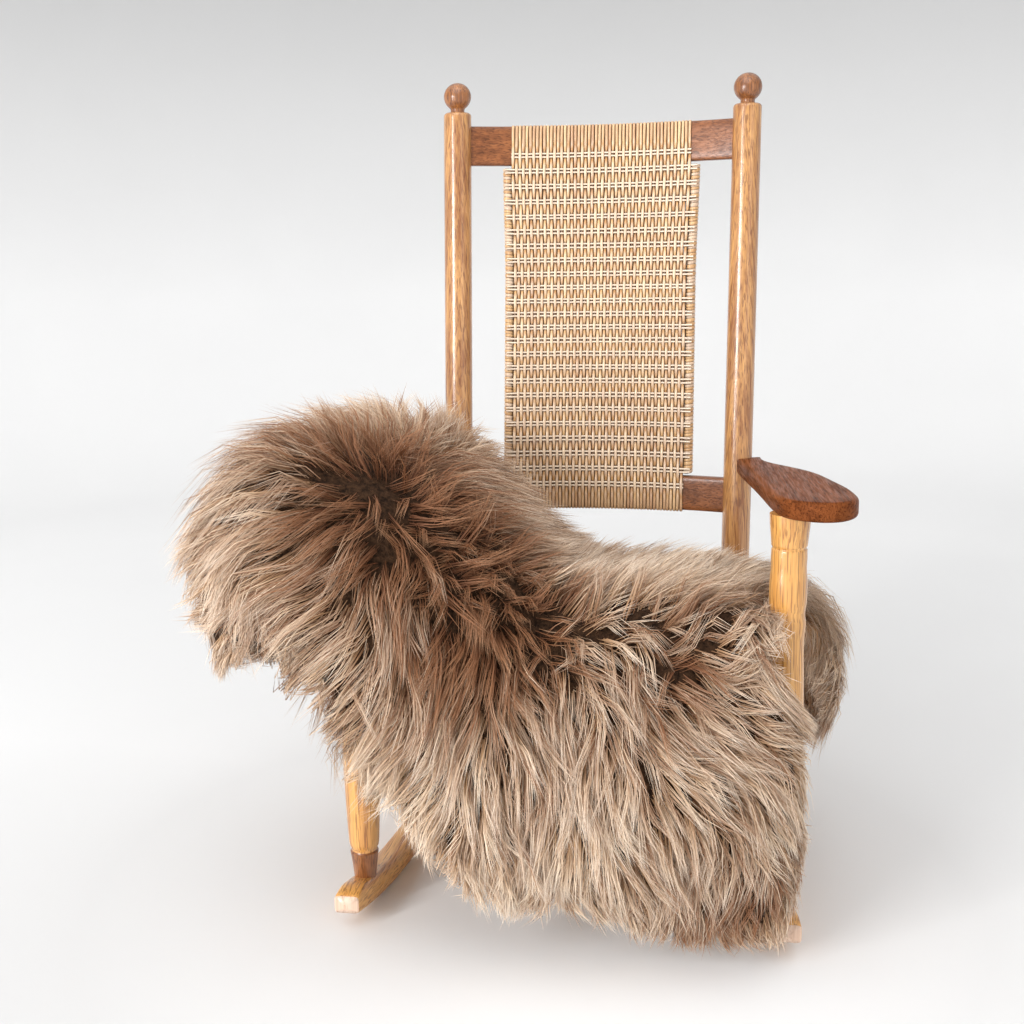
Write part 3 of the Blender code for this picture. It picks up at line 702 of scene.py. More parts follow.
@dataclass(frozen=True)
class ChairLines:
    """The lines that the chair's pieces share, in metres."""

    post_radius: float = 0.0210
    half_at_seat: float = 0.2126
    splay: float = 0.0094
    depth: float = 0.4280
    lean: float = math.tan(math.radians(7.25))
    bend_z: float = 0.430
    bend_soft: float = 0.030
    front_half: float = 0.2605
    front_top_radius: float = 0.0236
    arm_front_z: float = 0.5443
    arm_slope: float = 0.0424
    arm_thick: float = 0.023
    rocker_tall: float = 0.033
    flat_middle: float = 0.170
    flat_half: float = 0.060
    front_bend: float = 0.700
    rear_bend: float = 1.150
    seat_front_z: float = 0.385
    seat_slope: float = 0.0935
    seat_front_y: float = -0.019
    seat_rear_y: float = 0.445
    seat_out: float = 0.017
    rail_bow: float = 0.040
    gap: float = 0.0003

    def back_half(self, z: Number) -> Number:
        """Half the spacing of the back posts at height z."""
        return self.half_at_seat + self.splay * (z - self.bend_z)

    def back_y(self, z: Number) -> Number:
        """Middle of a back post at height z: upright, then leaning, with a soft bend between."""
        above = z - self.bend_z
        return self.depth + self.lean * 0.5 * (above + np.sqrt(above * above + self.bend_soft**2))

    def line_x(self, y: Number) -> Number:
        """Middle of a rocker, and of the side stretchers, at depth y."""
        return self.front_half + (self.back_half(0.2) - self.front_half) * y / self.depth

    def seat_top(self, y: Number) -> Number:
        """Height of the seat at depth y."""
        return self.seat_front_z - self.seat_slope * y

    def arm_top(self, y: Number) -> Number:
        """Height of an arm's top at depth y."""
        return self.arm_front_z - self.arm_slope * y

    def rocker_low(self, y: Number) -> Number:
        """The rocker's lower edge: flat in the middle, and a circle ahead of it and behind it."""
        ahead = np.maximum(self.flat_middle - self.flat_half - y, 0.0)
        behind = np.maximum(y - self.flat_middle - self.flat_half, 0.0)
        return ahead**2 / (2 * self.front_bend) + behind**2 / (2 * self.rear_bend)

    def rocker_top(self, y: Number) -> Number:
        """The rocker's upper edge at depth y."""
        return self.rocker_low(y) + self.rocker_tall

    def bow(self, x: Number, z: Number) -> Number:
        """How far back the rails and the panel are bowed at x, on a parabola between the posts."""
        return self.rail_bow * (1 - (x / self.back_half(z)) ** 2)

    def seat_outline(self) -> Outline:
        """The seat from above, anticlockwise, with a notch for each post."""
        front_in = self.front_half - 0.0206 - 2 * self.gap
        front_back = 0.0206 + 3 * self.gap
        rear_front = self.depth - self.post_radius - self.gap
        rear_in = self.back_half(0.33) - self.post_radius - self.gap
        right = [(front_in, self.seat_front_y), (front_in, front_back),
                 (self.line_x(front_back) + self.seat_out, front_back),
                 (self.line_x(rear_front) + self.seat_out, rear_front), (rear_in, rear_front),
                 (rear_in, self.seat_rear_y)]
        return right + [(-x, y) for x, y in reversed(right)]

    def arm_outline(self) -> Outline:
        """The right arm from above, anticlockwise from its inner back corner."""
        inner = [(0.2105, 0.4380), (0.2160, 0.3500), (0.2250, 0.2400), (0.2350, 0.1000), (0.2420, 0.0100)]
        front = [(0.2480, -0.0220), (0.2600, -0.0450), (0.2760, -0.0580), (0.2930, -0.0630),
                 (0.3110, -0.0570), (0.3260, -0.0390), (0.3350, -0.0120)]
        outer = [(0.3370, 0.0200), (0.3340, 0.0850), (0.3250, 0.1550), (0.3090, 0.2500),
                 (0.2800, 0.3250), (0.2590, 0.3750), (0.2500, 0.4200), (0.2480, 0.4520)]
        return inner + front + outer


LINES = ChairLines()
ARM = dict(name="dark oak", light="8a4e2a", dark="5c3018", pore="3e2010")
# A pale finish as a painted highlight on the rockers' noses, where the light catches them.
NOSE_HIGHLIGHT = dict(name="bare oak", light="f3d5c0", dark="e3bfa5", pore="c99f80")
HONEY = dict(name="honey oak", light="f0b665", dark="c07c38", pore="84491c")
POST = dict(name="amber oak", light="dba364", dark="93592b", pore="6b3a1a")
KNOB = dict(name="knob oak", light="b27440", dark="6b3a1b", pore="4a2612")
BROWN = dict(name="brown oak", light="a2653c", dark="6c3d20", pore="4c2814")


def turned(name: str, radii: np.ndarray, heights: np.ndarray, axis: Callable[[np.ndarray], np.ndarray],
           sides: int = 40) -> Piece:
    """A turned piece: a circle of each radius at each height, round an axis, closed at both ends.

    Args:
        name: the piece's name.
        radii: radius at each height.
        heights: rising heights.
        axis: gives the axis as (x, y) rows at some heights.
        sides: points round each circle.

    Returns:
        The sealed object.
    """
    radii = np.concatenate([[0.0], radii, [0.0]])
    heights = np.concatenate([heights[:1], heights, heights[-1:]])
    turn = full_turn(sides)
    middle = axis(heights)
    grid = spots(middle[:, :1] + radii[:, None] * np.cos(turn),
                 middle[:, 1:] + radii[:, None] * np.sin(turn), heights[:, None])
    return skin(name, grid, crease=50.0)


def dress(piece: Piece, finish: Material, slot: str, *nodes: str) -> Piece:
    """Gives a piece its finish, its body and the nodes that it stands for.

    Args:
        piece: the new object.
        finish: its material.
        slot: the record's material slot; not used.
        nodes: names of the CAD nodes that it replaces.

    Returns:
        The same object.
    """
    piece.data.materials.clear()
    piece.data.materials.append(finish)
    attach(piece, "root")
    if nodes:
        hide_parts(*nodes)
    log.info("%s: %d faces for %s", piece.name, len(piece.data.polygons), ", ".join(nodes) or "no node")
    return piece


def other_finish(piece: Piece, finish: Material, chosen: Callable[[Sequence[float]], bool]) -> None:
    """Gives the faces whose middle is chosen a finish of their own."""
    piece.data.materials.append(finish)
    for face in piece.data.polygons:
        face.material_index = int(chosen(face.center))


@dataclass
class BackPosts:
    """The two back posts: tapered foot, plain shaft, rounded shoulder, neck and ball."""

    shoulder_z: float = 1.044
    ball_z: float = 1.068
    ball_radius: float = 0.0208
    neck_radius: float = 0.0105
    shoulder_round: float = 0.0055

    def profile(self) -> np.ndarray:
        """The (radius, height) rows from the foot to the top of the ball, which is a circle's arc."""
        foot = LINES.rocker_top(LINES.depth) - 0.001
        radius = LINES.post_radius
        low = [(0.0150, foot), (0.0155, foot + 0.012), (0.0170, foot + 0.040), (0.0172, foot + 0.0405),
               (0.0205, foot + 0.052), (radius, foot + 0.058)]
        shaft = [(radius, z) for z in np.linspace(0.13, self.shoulder_z - 0.0070, 44)]
        turn = np.radians(np.linspace(0, 90, 6))
        shoulder = np.stack([radius - self.shoulder_round * (1 - np.cos(turn)),
                             self.shoulder_z - self.shoulder_round * (1 - np.sin(turn))], 1)
        neck = [(self.neck_radius + 0.0006, self.shoulder_z + 0.0002),
                (self.neck_radius, self.shoulder_z + 0.0012), (self.neck_radius, self.shoulder_z + 0.0050)]
        arc = np.radians(np.linspace(34, 180, 26))
        ball = np.stack([self.ball_radius * np.sin(arc), self.ball_z - self.ball_radius * np.cos(arc)], 1)
        return np.vstack([low, shaft, shoulder, neck, ball[:-1]])

    def build(self) -> list[Piece]:
        """Both posts, dressed, with a finish of its own on the ball."""
        profile = self.profile()
        finish = OakFinish(**POST, grain=Grain.UP, varnish=0.9).material()
        knob = OakFinish(**KNOB, grain=Grain.UP).material()
        made = []
        for side in Side:
            axis = lambda z, sign=side.value: np.stack([sign * LINES.back_half(z), LINES.back_y(z)], 1)
            post = turned(f"post_back_{side.word}", profile[:, 0], profile[:, 1], axis)
            made.append(dress(post, finish, "brown_oak", f"back_post_{side.word}"))
            other_finish(post, knob, lambda middle: middle[2] > self.shoulder_z)
        return made


@dataclass
class FrontPosts:
    """The two turned front posts, with a long swell, a waist and a cut groove under the arm."""

    turning: tuple[tuple[float, float], ...] = (
        (0.0195, 0.095), (0.0212, 0.132), (0.0228, 0.210), (0.0222, 0.290), (0.0206, 0.345),
        (0.0208, 0.384), (0.0214, 0.396), (0.0204, 0.402), (0.0202, 0.406), (0.0210, 0.413), (0.0219, 0.430),
        (0.0216, 0.446), (0.0206, 0.462), (0.0209, 0.472), (0.0207, 0.4790))
    groove_z: float = 0.4835
    dark_foot: float = 0.0370

    def profile(self) -> np.ndarray:
        """The (radius, height) rows: a tapered foot, a spline through the turning, a groove and the top."""
        foot = LINES.rocker_top(0.0) - 0.001
        low = [(0.0140, foot), (0.0150, foot + 0.012), (0.0178, foot + 0.034), (0.0180, foot + 0.0355),
               (0.0160, foot + 0.0375), (0.0160, foot + 0.0395), (0.0180, foot + 0.0430),
               (0.0190, foot + 0.0480)]
        swell = smooth_line(self.turning, 70)
        groove = [(radius, self.groove_z + rise) for radius, rise in (
            (0.0206, -0.0020), (0.0196, -0.0008), (0.0193, 0.0), (0.0198, 0.0010), (0.0209, 0.0030))]
        top = LINES.arm_top(0.0) - LINES.arm_thick + 0.002
        upper = smooth_line([(0.0209, self.groove_z + 0.0040), (0.0220, 0.500), (0.0232, 0.512),
                             (LINES.front_top_radius, top)], 16)
        return np.vstack([low, swell, groove, upper])

    def build(self) -> list[Piece]:
        """Both posts, dressed, with a darker foot."""
        profile = self.profile()
        finish = OakFinish(**HONEY, grain=Grain.UP, bands=0.8, varnish=0.9).material()
        dark = OakFinish(**KNOB, grain=Grain.UP).material()
        foot_top = LINES.rocker_top(0.0) + self.dark_foot
        made = []
        for side in Side:
            axis = lambda z, sign=side.value: np.stack([0 * z + sign * LINES.front_half, 0 * z], 1)
            post = turned(f"post_front_{side.word}", profile[:, 0], profile[:, 1], axis)
            made.append(dress(post, finish, "honey_oak", f"front_post_{side.word}"))
            other_finish(post, dark, lambda middle: middle[2] < foot_top)
        return made


@dataclass
class Rockers:
    """The two rockers: bars of rounded section on a line that is flat under the middle."""

    wide: float = 0.031
    nose_y: float = -0.068
    tail_y: float = 0.715
    stations: int = 110
    around: int = 24
    crowding: float = 0.12
    end_taper: float = 0.036
    end_round: float = 0.005
    nose_highlight_reach: float = 0.004

    def build(self) -> list[Piece]:
        """Both rockers: a squircle section along the line, with ends that close as a quarter circle.

        The sections crowd towards the ends by a sine. The bar gets lower over the end taper, by the
        square of how far into it a section is, and its nose gets a pale finish as a painted highlight.
        """
        even = np.linspace(0, 1, self.stations)
        crowded = even - self.crowding * np.sin(2 * math.pi * even) / math.pi
        y = self.nose_y + (self.tail_y - self.nose_y) * crowded
        from_end = np.minimum(y - self.nose_y, self.tail_y - y)
        height = LINES.rocker_tall * (1 - 0.45 * np.maximum(1 - from_end / self.end_taper, 0) ** 2)
        close = np.sqrt(1 - (1 - np.clip(from_end / self.end_round, 0, 1)) ** 2)
        section = squircle(self.around, 1.0, 1.0, 7.0)
        finish = OakFinish(**HONEY, grain=Grain.BACKWARDS).material()
        nose_highlight = OakFinish(**NOSE_HIGHLIGHT, grain=Grain.UP).material()
        nose_end = self.nose_y + PART_SHIFT[1] + self.nose_highlight_reach
        made = []
        for side in Side:
            x, z = side.value * LINES.line_x(y), LINES.rocker_low(y) + height / 2
            grid = spots(x[:, None] + section[:, 0] * (self.wide * close)[:, None], y[:, None],
                         z[:, None] + section[:, 1] * (height * close)[:, None])
            runner = skin(f"runner_{side.word}", grid, crease=60.0)
            made.append(dress(runner, finish, "honey_oak", f"rocker_{side.word}"))
            # The nose's faces get the pale finish: a painted highlight.
            other_finish(runner, nose_highlight, lambda middle: middle[1] < nose_end)
        return made


@dataclass
class Arms:
    """The two paddle arms: rings that shrink from the outline to a middle line, above and below."""

    edge: float = 0.0055
    places: int = 150
    spine: tuple[tuple[float, float], ...] = (
        (-0.022, 0.2905), (0.100, 0.2835), (0.250, 0.2670), (0.350, 0.2430), (0.420, 0.2310))

    def outline(self) -> np.ndarray:
        """The outline as a spline through its points, closed by a straight line at the back."""
        curve = smooth_line(LINES.arm_outline(), self.places)
        share = np.linspace(0, 1, 12)[1:-1, None]
        return np.vstack([curve, curve[-1] * (1 - share) + curve[0] * share])

    def grid(self) -> np.ndarray:
        """Rings from the middle of the top, round the edge, to the middle of the underside.

        A ring is the outline drawn in towards the middle line by a distance, at a height over the
        arm's middle. Round the edge the two follow a quarter circle.
        """
        rim = self.outline()
        places = np.array(self.spine)
        middle_y = np.clip(rim[:, 1], places[0, 0], places[-1, 0])
        middle = np.stack([np.interp(middle_y, places[:, 0], places[:, 1]), middle_y], 1)
        reach = np.linalg.norm(middle - rim, axis=1, keepdims=True)
        inwards = (middle - rim) / reach
        half = LINES.arm_thick / 2
        turn = np.radians(np.linspace(90, 0, 7))
        rolled = [(self.edge * (1 - math.cos(a)), half - self.edge * (1 - math.sin(a))) for a in turn]
        rings = [(rim + inwards * reach * q, half) for q in (1.0, 0.7, 0.4)]
        rings += [(rim + inwards * inset, z) for inset, z in rolled]
        rings += [(rim + inwards * inset, -z) for inset, z in reversed(rolled)]
        rings += [(rim + inwards * reach * q, -half) for q in (0.4, 0.7, 1.0)]
        grid = np.empty((len(rings), len(rim), 3))
        for k, (ring, z) in enumerate(rings):
            grid[k, :, :2] = ring
            grid[k, :, 2] = LINES.arm_top(ring[:, 1]) - half + z
        return grid

    def build(self) -> list[Piece]:
        """Both arms, dressed."""
        grid = self.grid()
        finish = OakFinish(**ARM, grain=Grain.BACKWARDS, varnish=0.0, shine=0.02).material()
        made = []
        for side in Side:
            placed = grid * np.array([side.value, 1, 1])
            made.append(dress(skin(f"paddle_{side.word}", placed, crease=60.0), finish, "brown_oak",
                              f"arm_{side.word}"))
        return made


@dataclass
class BackRails:
    """The two bowed rails between the back posts, of rounded section."""

    thick: float = 0.018
    rails: tuple[tuple[str, float, float], ...] = (("top_rail", 0.965, 1.024), ("low_rail", 0.442, 0.494))
    stations: int = 48
    around: int = 28

    def build(self) -> list[Piece]:
        """Both rails: a squircle section carried along the bow."""
        finish = OakFinish(**BROWN, grain=Grain.ACROSS, varnish=0.30, shine=0.3).material()
        made = []
        for node, low, high in self.rails:
            section = squircle(self.around, self.thick, high - low, 8.0)
            z = (low + high) / 2 + section[:, 1]
            half = LINES.back_half(z) - LINES.post_radius + 0.004
            share = np.linspace(-1, 1, self.stations)[:, None]
            x = share * half
            grid = spots(x, LINES.back_y(z) + LINES.bow(x, z) + section[:, 0], z)
            first, last = (end.mean(axis=1, keepdims=True) + 0 * end for end in (grid[:1], grid[-1:]))
            rail = skin(f"{node}_board", np.vstack([first, grid, last]), crease=60.0)
            made.append(dress(rail, finish, "brown_oak", node))
        return made


@dataclass
class Stretchers:
    """The dowels between the legs, each a little thicker in its middle."""

    radius: float = 0.011
    front_heights: tuple[float, ...] = (0.165, 0.255)
    side_heights: tuple[float, ...] = (0.140, 0.225)
    rear_heights: tuple[float, ...] = (0.190,)
    around: int = 22
    stations: int = 22
    into_post: float = 0.004
    thinner: float = 0.22
    front_radius: float = 0.0215

    def dowel(self, name: str, start: Sequence[float], end: Sequence[float]) -> Piece:
        """A round bar between two places, a little thinner towards both ends.

        Its radius falls by a share of a power of the distance from its middle.

        Args:
            name: the piece's name.
            start: one end, in the chair's frame.
            end: the other end.

        Returns:
            The sealed object.
        """
        start, end = np.array(start, float), np.array(end, float)
        along = (end - start) / np.linalg.norm(end - start)
        sideways = np.cross(along, (0, 0, 1.0))
        sideways /= np.linalg.norm(sideways)
        upwards = np.cross(sideways, along)
        share = np.linspace(0, 1, self.stations)
        radius = self.radius * (1 - self.thinner * np.abs(2 * share - 1) ** 2.4)
        share = np.concatenate([[0], share, [1]])
        radius = np.concatenate([[0], radius, [0]])
        turn = full_turn(self.around)
        ring = np.cos(turn)[:, None] * sideways + np.sin(turn)[:, None] * upwards
        centre = start + (end - start) * share[:, None]
        return skin(name, centre[:, None] + radius[:, None, None] * ring, crease=50.0)

    def build(self) -> list[Piece]:
        """All of them, dressed."""
        across = OakFinish(**HONEY, grain=Grain.ACROSS).material()
        backwards = OakFinish(**HONEY, grain=Grain.BACKWARDS).material()
        half = LINES.front_half - self.front_radius + self.into_post
        made = []
        for k, z in enumerate(self.front_heights, 1):
            bar = self.dowel(f"dowel_front_{k}", (-half, 0, z), (half, 0, z))
            made.append(dress(bar, across, "honey_oak", f"front_stretcher_{k}"))
        near = self.front_radius - self.into_post
        far = LINES.depth - LINES.post_radius + self.into_post
        for k, z in enumerate(self.side_heights, 1):
            for side in Side:
                bar = self.dowel(f"dowel_side_{side.word}_{k}", (side.value * LINES.line_x(near), near, z),
                                 (side.value * LINES.line_x(far), far, z))
                made.append(dress(bar, backwards, "honey_oak", f"side_stretcher_{side.word}_{k}"))
        for k, z in enumerate(self.rear_heights, 1):
            half = LINES.back_half(z) - LINES.post_radius + self.into_post
            bar = self.dowel(f"dowel_rear_{k}", (-half, LINES.depth, z), (half, LINES.depth, z))
            made.append(dress(bar, across, "honey_oak", f"rear_stretcher_{k}"))
        return made


@dataclass
class CaneBack:
    """The woven back: long strands looped over both rails, pairs of strands across, and wound sides."""

    strands: int = 52
    strand_half: float = 0.00250
    strand_rise: float = 0.00130
    half_depth: float = 0.0100
    low_z: float = 0.4405
    high_z: float = 1.0245
    corner: float = 0.0045
    first_pair: float = 0.9797
    last_pair: float = 0.4792
    gaps: int = 23
    pair_gap: float = 0.0050
    dip: float = 0.00150
    spread: tuple[float, float] = (0.1290, 0.0052)
    stick_out: tuple[float, float] = (0.1466, 0.0045)
    stick_half: tuple[float, float] = (0.0078, 0.0092)
    stick_span: tuple[float, float] = (0.4985, 0.9605)
    bands: int = 86
    seed: int = 5
    thread_half: tuple[float, float] = (0.00165, 0.00085)
    band_swell: float = 0.0009
    tone_floats: int = 64
    # Painted shade at the sides of the strands and of the pairs.
    painted_shade_sides: tuple[float, ...] = (1.0, 0.05, 0.05, 1.0)

    def pair_heights(self, number: np.ndarray) -> np.ndarray:
        """Height of each pair: even steps down, a little longer at both ends by a sine."""
        share = number / self.gaps
        share = share + 0.08 * np.sin(2 * math.pi * share) / (2 * math.pi)
        return self.first_pair + (self.last_pair - self.first_pair) * share

    def pair_number(self, z: np.ndarray) -> np.ndarray:
        """The pair at height z, counted down from the top, with fractions between."""
        number = np.linspace(-3, self.gaps + 3, 400)
        return np.interp(z, self.pair_heights(number)[::-1], number[::-1])

    def half_width(self, z: np.ndarray, low_and_rise: tuple[float, float]) -> np.ndarray:
        """Half a width that is one value below and grows by another near the top."""
        return low_and_rise[0] + low_and_rise[1] * soft_step(z, 0.78, 0.98)

    def loop(self, steps: int = 94) -> tuple[np.ndarray, np.ndarray]:
        """A strand's way round both rails, seen from the side: a rectangle with round corners.

        Args:
            steps: places up one face.

        Returns:
            (place, outwards): rows of distance in front of the panel's middle and height, and the
            unit vector that points away from the loop there.
        """
        rise = np.linspace(self.low_z + self.corner, self.high_z - self.corner, steps)
        deep = self.half_depth
        turn = np.radians(np.linspace(0, 90, 4))[1:-1]
        arc = np.stack([np.cos(turn), np.sin(turn)], 1)
        inner = deep - self.corner
        top_z, low_z = self.high_z - self.corner, self.low_z + self.corner
        place = [np.stack([np.full(steps, deep), rise], 1), np.array([inner, top_z]) + self.corner * arc,
                 np.array([-inner, top_z]) + self.corner * arc[::-1] * (-1, 1),
                 np.stack([np.full(steps, -deep), rise[::-1]], 1),
                 np.array([-inner, low_z]) - self.corner * arc,
                 np.array([inner, low_z]) - self.corner * arc[::-1] * (-1, 1)]
        outwards = [np.tile((1.0, 0.0), (steps, 1)), arc, arc[::-1] * (-1, 1),
                    np.tile((-1.0, 0.0), (steps, 1)), -arc, arc[::-1] * (1, -1)]
        return np.vstack(place), np.vstack(outwards)

    def long_strands(self) -> Piece:
        """The strands that run up and down.

        A strand stands out by dip times the cosine of half a turn for each pair, so that it passes
        over one pair and under the next, and its neighbour the other way round. It is a little wider
        over a pair, with painted shade where it dives under one and at its sides, and a painted
        highlight, partly wear, where it passes over.
        """
        chance = np.random.default_rng(self.seed)
        place, outwards = self.loop()
        number = np.arange(self.strands)
        share = (number - (self.strands - 1) / 2) / ((self.strands - 1) / 2)
        z = place[:, 1]
        pair = self.pair_number(z)
        woven = soft_step(pair, -1.1, -0.3) * (1 - soft_step(pair, self.gaps + 0.3, self.gaps + 1.1))
        phase = math.pi * (pair[None] + number[:, None])
        over = np.cos(phase) * woven
        deep = place[None, :, 0] + outwards[None, :, 0] * self.dip * over
        x = share[:, None] * self.half_width(z, self.spread)
        x = x + chance.uniform(-0.00012, 0.00012, self.strands)[:, None]
        x = x + 0.00018 * np.sin(z[None] * 95 + chance.uniform(0, 6.28, self.strands)[:, None])
        around = np.array([(-1.0, 0.0), (-0.55, 1.0), (0.55, 1.0), (1.0, 0.0)])
        x = x[..., None] + around[:, 0] * (self.strand_half * (1 + 0.03 * over))[..., None]
        out = around[:, 1] * self.strand_rise
        grid = spots(x, LINES.back_y(z)[None, :, None] + LINES.bow(x, z[None, :, None])
                     - deep[..., None] - outwards[None, :, :1] * out,
                     z[None, :, None] + outwards[None, :, 1:] * out)
        piece = skin("cane_long_strands", grid, wrap_rows=True, poles=False)
        floats = np.floor((pair[None] + number[:, None] + 1) / 2).astype(int) % self.tone_floats
        tones = chance.uniform(0, 1, (self.strands, self.tone_floats))
        tone = 0.5 * tones[number[:, None], floats] + 0.5 * tones[number, 0][:, None]
        # Painted shade where the strand dives under a pair and at its sides; a painted highlight, partly
        # wear, on its crests.
        low = 0.85 * soft_step(-over, 0.35, 0.85)[..., None]
        mark(piece, grid.shape[:3], tone=tone[..., None], edge=np.maximum(self.painted_shade_sides, low),
             crest=0.60 * np.clip(over + 0.35, 0, 1)[..., None])
        return piece

    def pairs(self) -> Piece:
        """The pairs of thin strands across, on both faces, flat bands that follow the panel's bow."""
        chance = np.random.default_rng(self.seed + 1)
        middle = self.pair_heights(np.arange(self.gaps + 1.0))
        height = (middle[:, None] + np.array([-0.5, 0.5]) * self.pair_gap).ravel()
        face = np.repeat([1.0, -1.0], len(height))
        height = np.tile(height, 2) + chance.uniform(-0.0003, 0.0003, 2 * len(height))
        reach = np.where((height > 0.495) & (height < 0.962), 0.0030, -0.0065)
        share = np.linspace(-1, 1, 22)
        x = share[None] * (self.half_width(height, self.stick_out) - self.stick_half[0] + reach)[:, None]
        around = np.array([(-1.0, 0.0), (-0.4, 1.0), (0.4, 1.0), (1.0, 0.0)])
        wave = 0.0003 * np.sin(x * 170 + chance.uniform(0, 6.28, len(height))[:, None])
        x, z = x[..., None], (height[:, None] + wave)[..., None] + around[:, 0] * self.thread_half[0]
        deep = face[:, None, None] * (self.half_depth + 0.0008 + around[:, 1] * self.thread_half[1])
        grid = spots(x, LINES.back_y(z) + LINES.bow(x, z) - deep, z)
        piece = skin("cane_pairs", grid, poles=False)
        # The pairs get painted shade at their sides and a painted highlight along their whole length.
        mark(piece, grid.shape[:3], tone=chance.uniform(0, 1, len(height))[:, None, None],
             edge=self.painted_shade_sides, crest=0.90)
        return piece

    def wound_sides(self) -> Piece:
        """The two side sticks wound with strands: an oval tube whose radius swells once a band.

        Within a band the swell is the root of a half sine, and each band slants a little.
        """
        chance = np.random.default_rng(self.seed + 2)
        widths = chance.uniform(0.72, 1.28, self.bands)
        low, high = self.stick_span
        edges = low + np.concatenate([[0], np.cumsum(widths)]) / widths.sum() * (high - low)
        phase = np.array([0.0, 0.20, 0.5, 0.80])
        z = (edges[:-1, None] + np.diff(edges)[:, None] * phase).ravel()
        swell = np.tile(np.sqrt(np.sin(math.pi * phase)), self.bands)
        z, swell = np.concatenate([z[:1], z, z[-1:]]), np.concatenate([[-8.0], swell, [-8.0]])
        around = 14
        turn = full_turn(around)
        grid = np.empty((2, len(z), around, 3))
        for k, side in enumerate(Side):
            slant = self.band_swell * np.sin(turn + 1.0) * side.value
            grid[k, ..., 2] = z[:, None] + slant
            middle = side.value * (self.half_width(z, self.stick_out) - self.stick_half[0])
            ring = [half - self.band_swell + self.band_swell * swell for half in self.stick_half]
            grid[k, ..., 0] = middle[:, None] + ring[0][:, None] * np.cos(turn)
            bowed = LINES.back_y(grid[k, ..., 2]) + LINES.bow(middle[:, None], grid[k, ..., 2])
            grid[k, ..., 1] = bowed + ring[1][:, None] * np.sin(turn)
        piece = skin("cane_wound_sides", grid, poles=False)
        band = np.concatenate([[0.5], np.repeat(chance.uniform(0, 1, self.bands), len(phase)), [0.5]])
        # Painted shade between the wraps; at random some wraps are paler.
        edge = np.concatenate([[1.0], np.tile([1.0, 0.1, 0.0, 0.1], self.bands), [1.0]])
        mark(piece, grid.shape[:3], tone=band[:, None], edge=edge[:, None],
             crest=np.where(band > 0.55, 0.6, 0.1)[:, None])
        return piece

    def build(self) -> list[Piece]:
        """The woven back, dressed."""
        # Of these colours the darkest is painted shade between and under the strands, and the palest a
        # painted highlight, partly wear, on their crests.
        colours = dict(name="split cane", light="e8bd82", dark="b3783f", seam="522c17", highlight_and_wear="fff2e0")
        up = CaneFinish(**colours, grain=Grain.UP).material()
        across = CaneFinish(**colours, grain=Grain.ACROSS).material()
        return [dress(self.long_strands(), up, "cane", "cane_back"), dress(self.pairs(), across, "cane"),
                dress(self.wound_sides(), across, "cane")]


@dataclass
class Seat:
    """The woven seat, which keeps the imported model's slab."""

    node: str = "seat"

    def build(self) -> None:
        """Dresses the slab in its weave."""
        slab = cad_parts[self.node]
        finish = WovenSeatFinish().material()
        for holder in slab.material_slots:
            holder.material = finish
        log.info("%s: woven finish on the packed slab", self.node)


# The sheepskin

@dataclass(frozen=True)
class Section:
    """One section of the draped hide from its back edge to its front hem, and how its wool lies.

    back, rest, notch, crest and hem are places of the hide, in the chair's frame. arch and rise lift
    it between them, belly pushes the hanging part out in the direction facing, in degrees from the
    front towards the left. pile is the wool's depth. behind, before and low are the ways that the
    wool lies behind the parting, just before it and down at the hem.
    """

    back: Place
    rest: Place
    notch: Place
    crest: Place
    hem: Place
    arch: float
    belly: float
    facing: float
    pile: float
    behind: Place
    before: Place
    low: Place
    rise: float = 0.0

    def points(self) -> np.ndarray:
        """The nine points of the section, with the hanging part pushed out by shares of the belly."""
        places = (self.back, self.rest, self.notch, self.crest, self.hem)
        back, rest, notch, crest, hem = (np.array(place) for place in places)
        turn = math.radians(self.facing)
        out = np.array([-math.sin(turn), -math.cos(turn), 0.0])
        lying = (back + rest) / 2 + np.array([0, 0, self.arch])
        beside = (rest + notch) / 2 + np.array([0, 0, self.rise])
        upper = crest + 0.30 * (hem - crest) + 0.95 * self.belly * out
        lower = crest + 0.66 * (hem - crest) + 0.90 * self.belly * out
        return np.array([back, lying, rest, beside, notch, crest, upper, lower, hem])


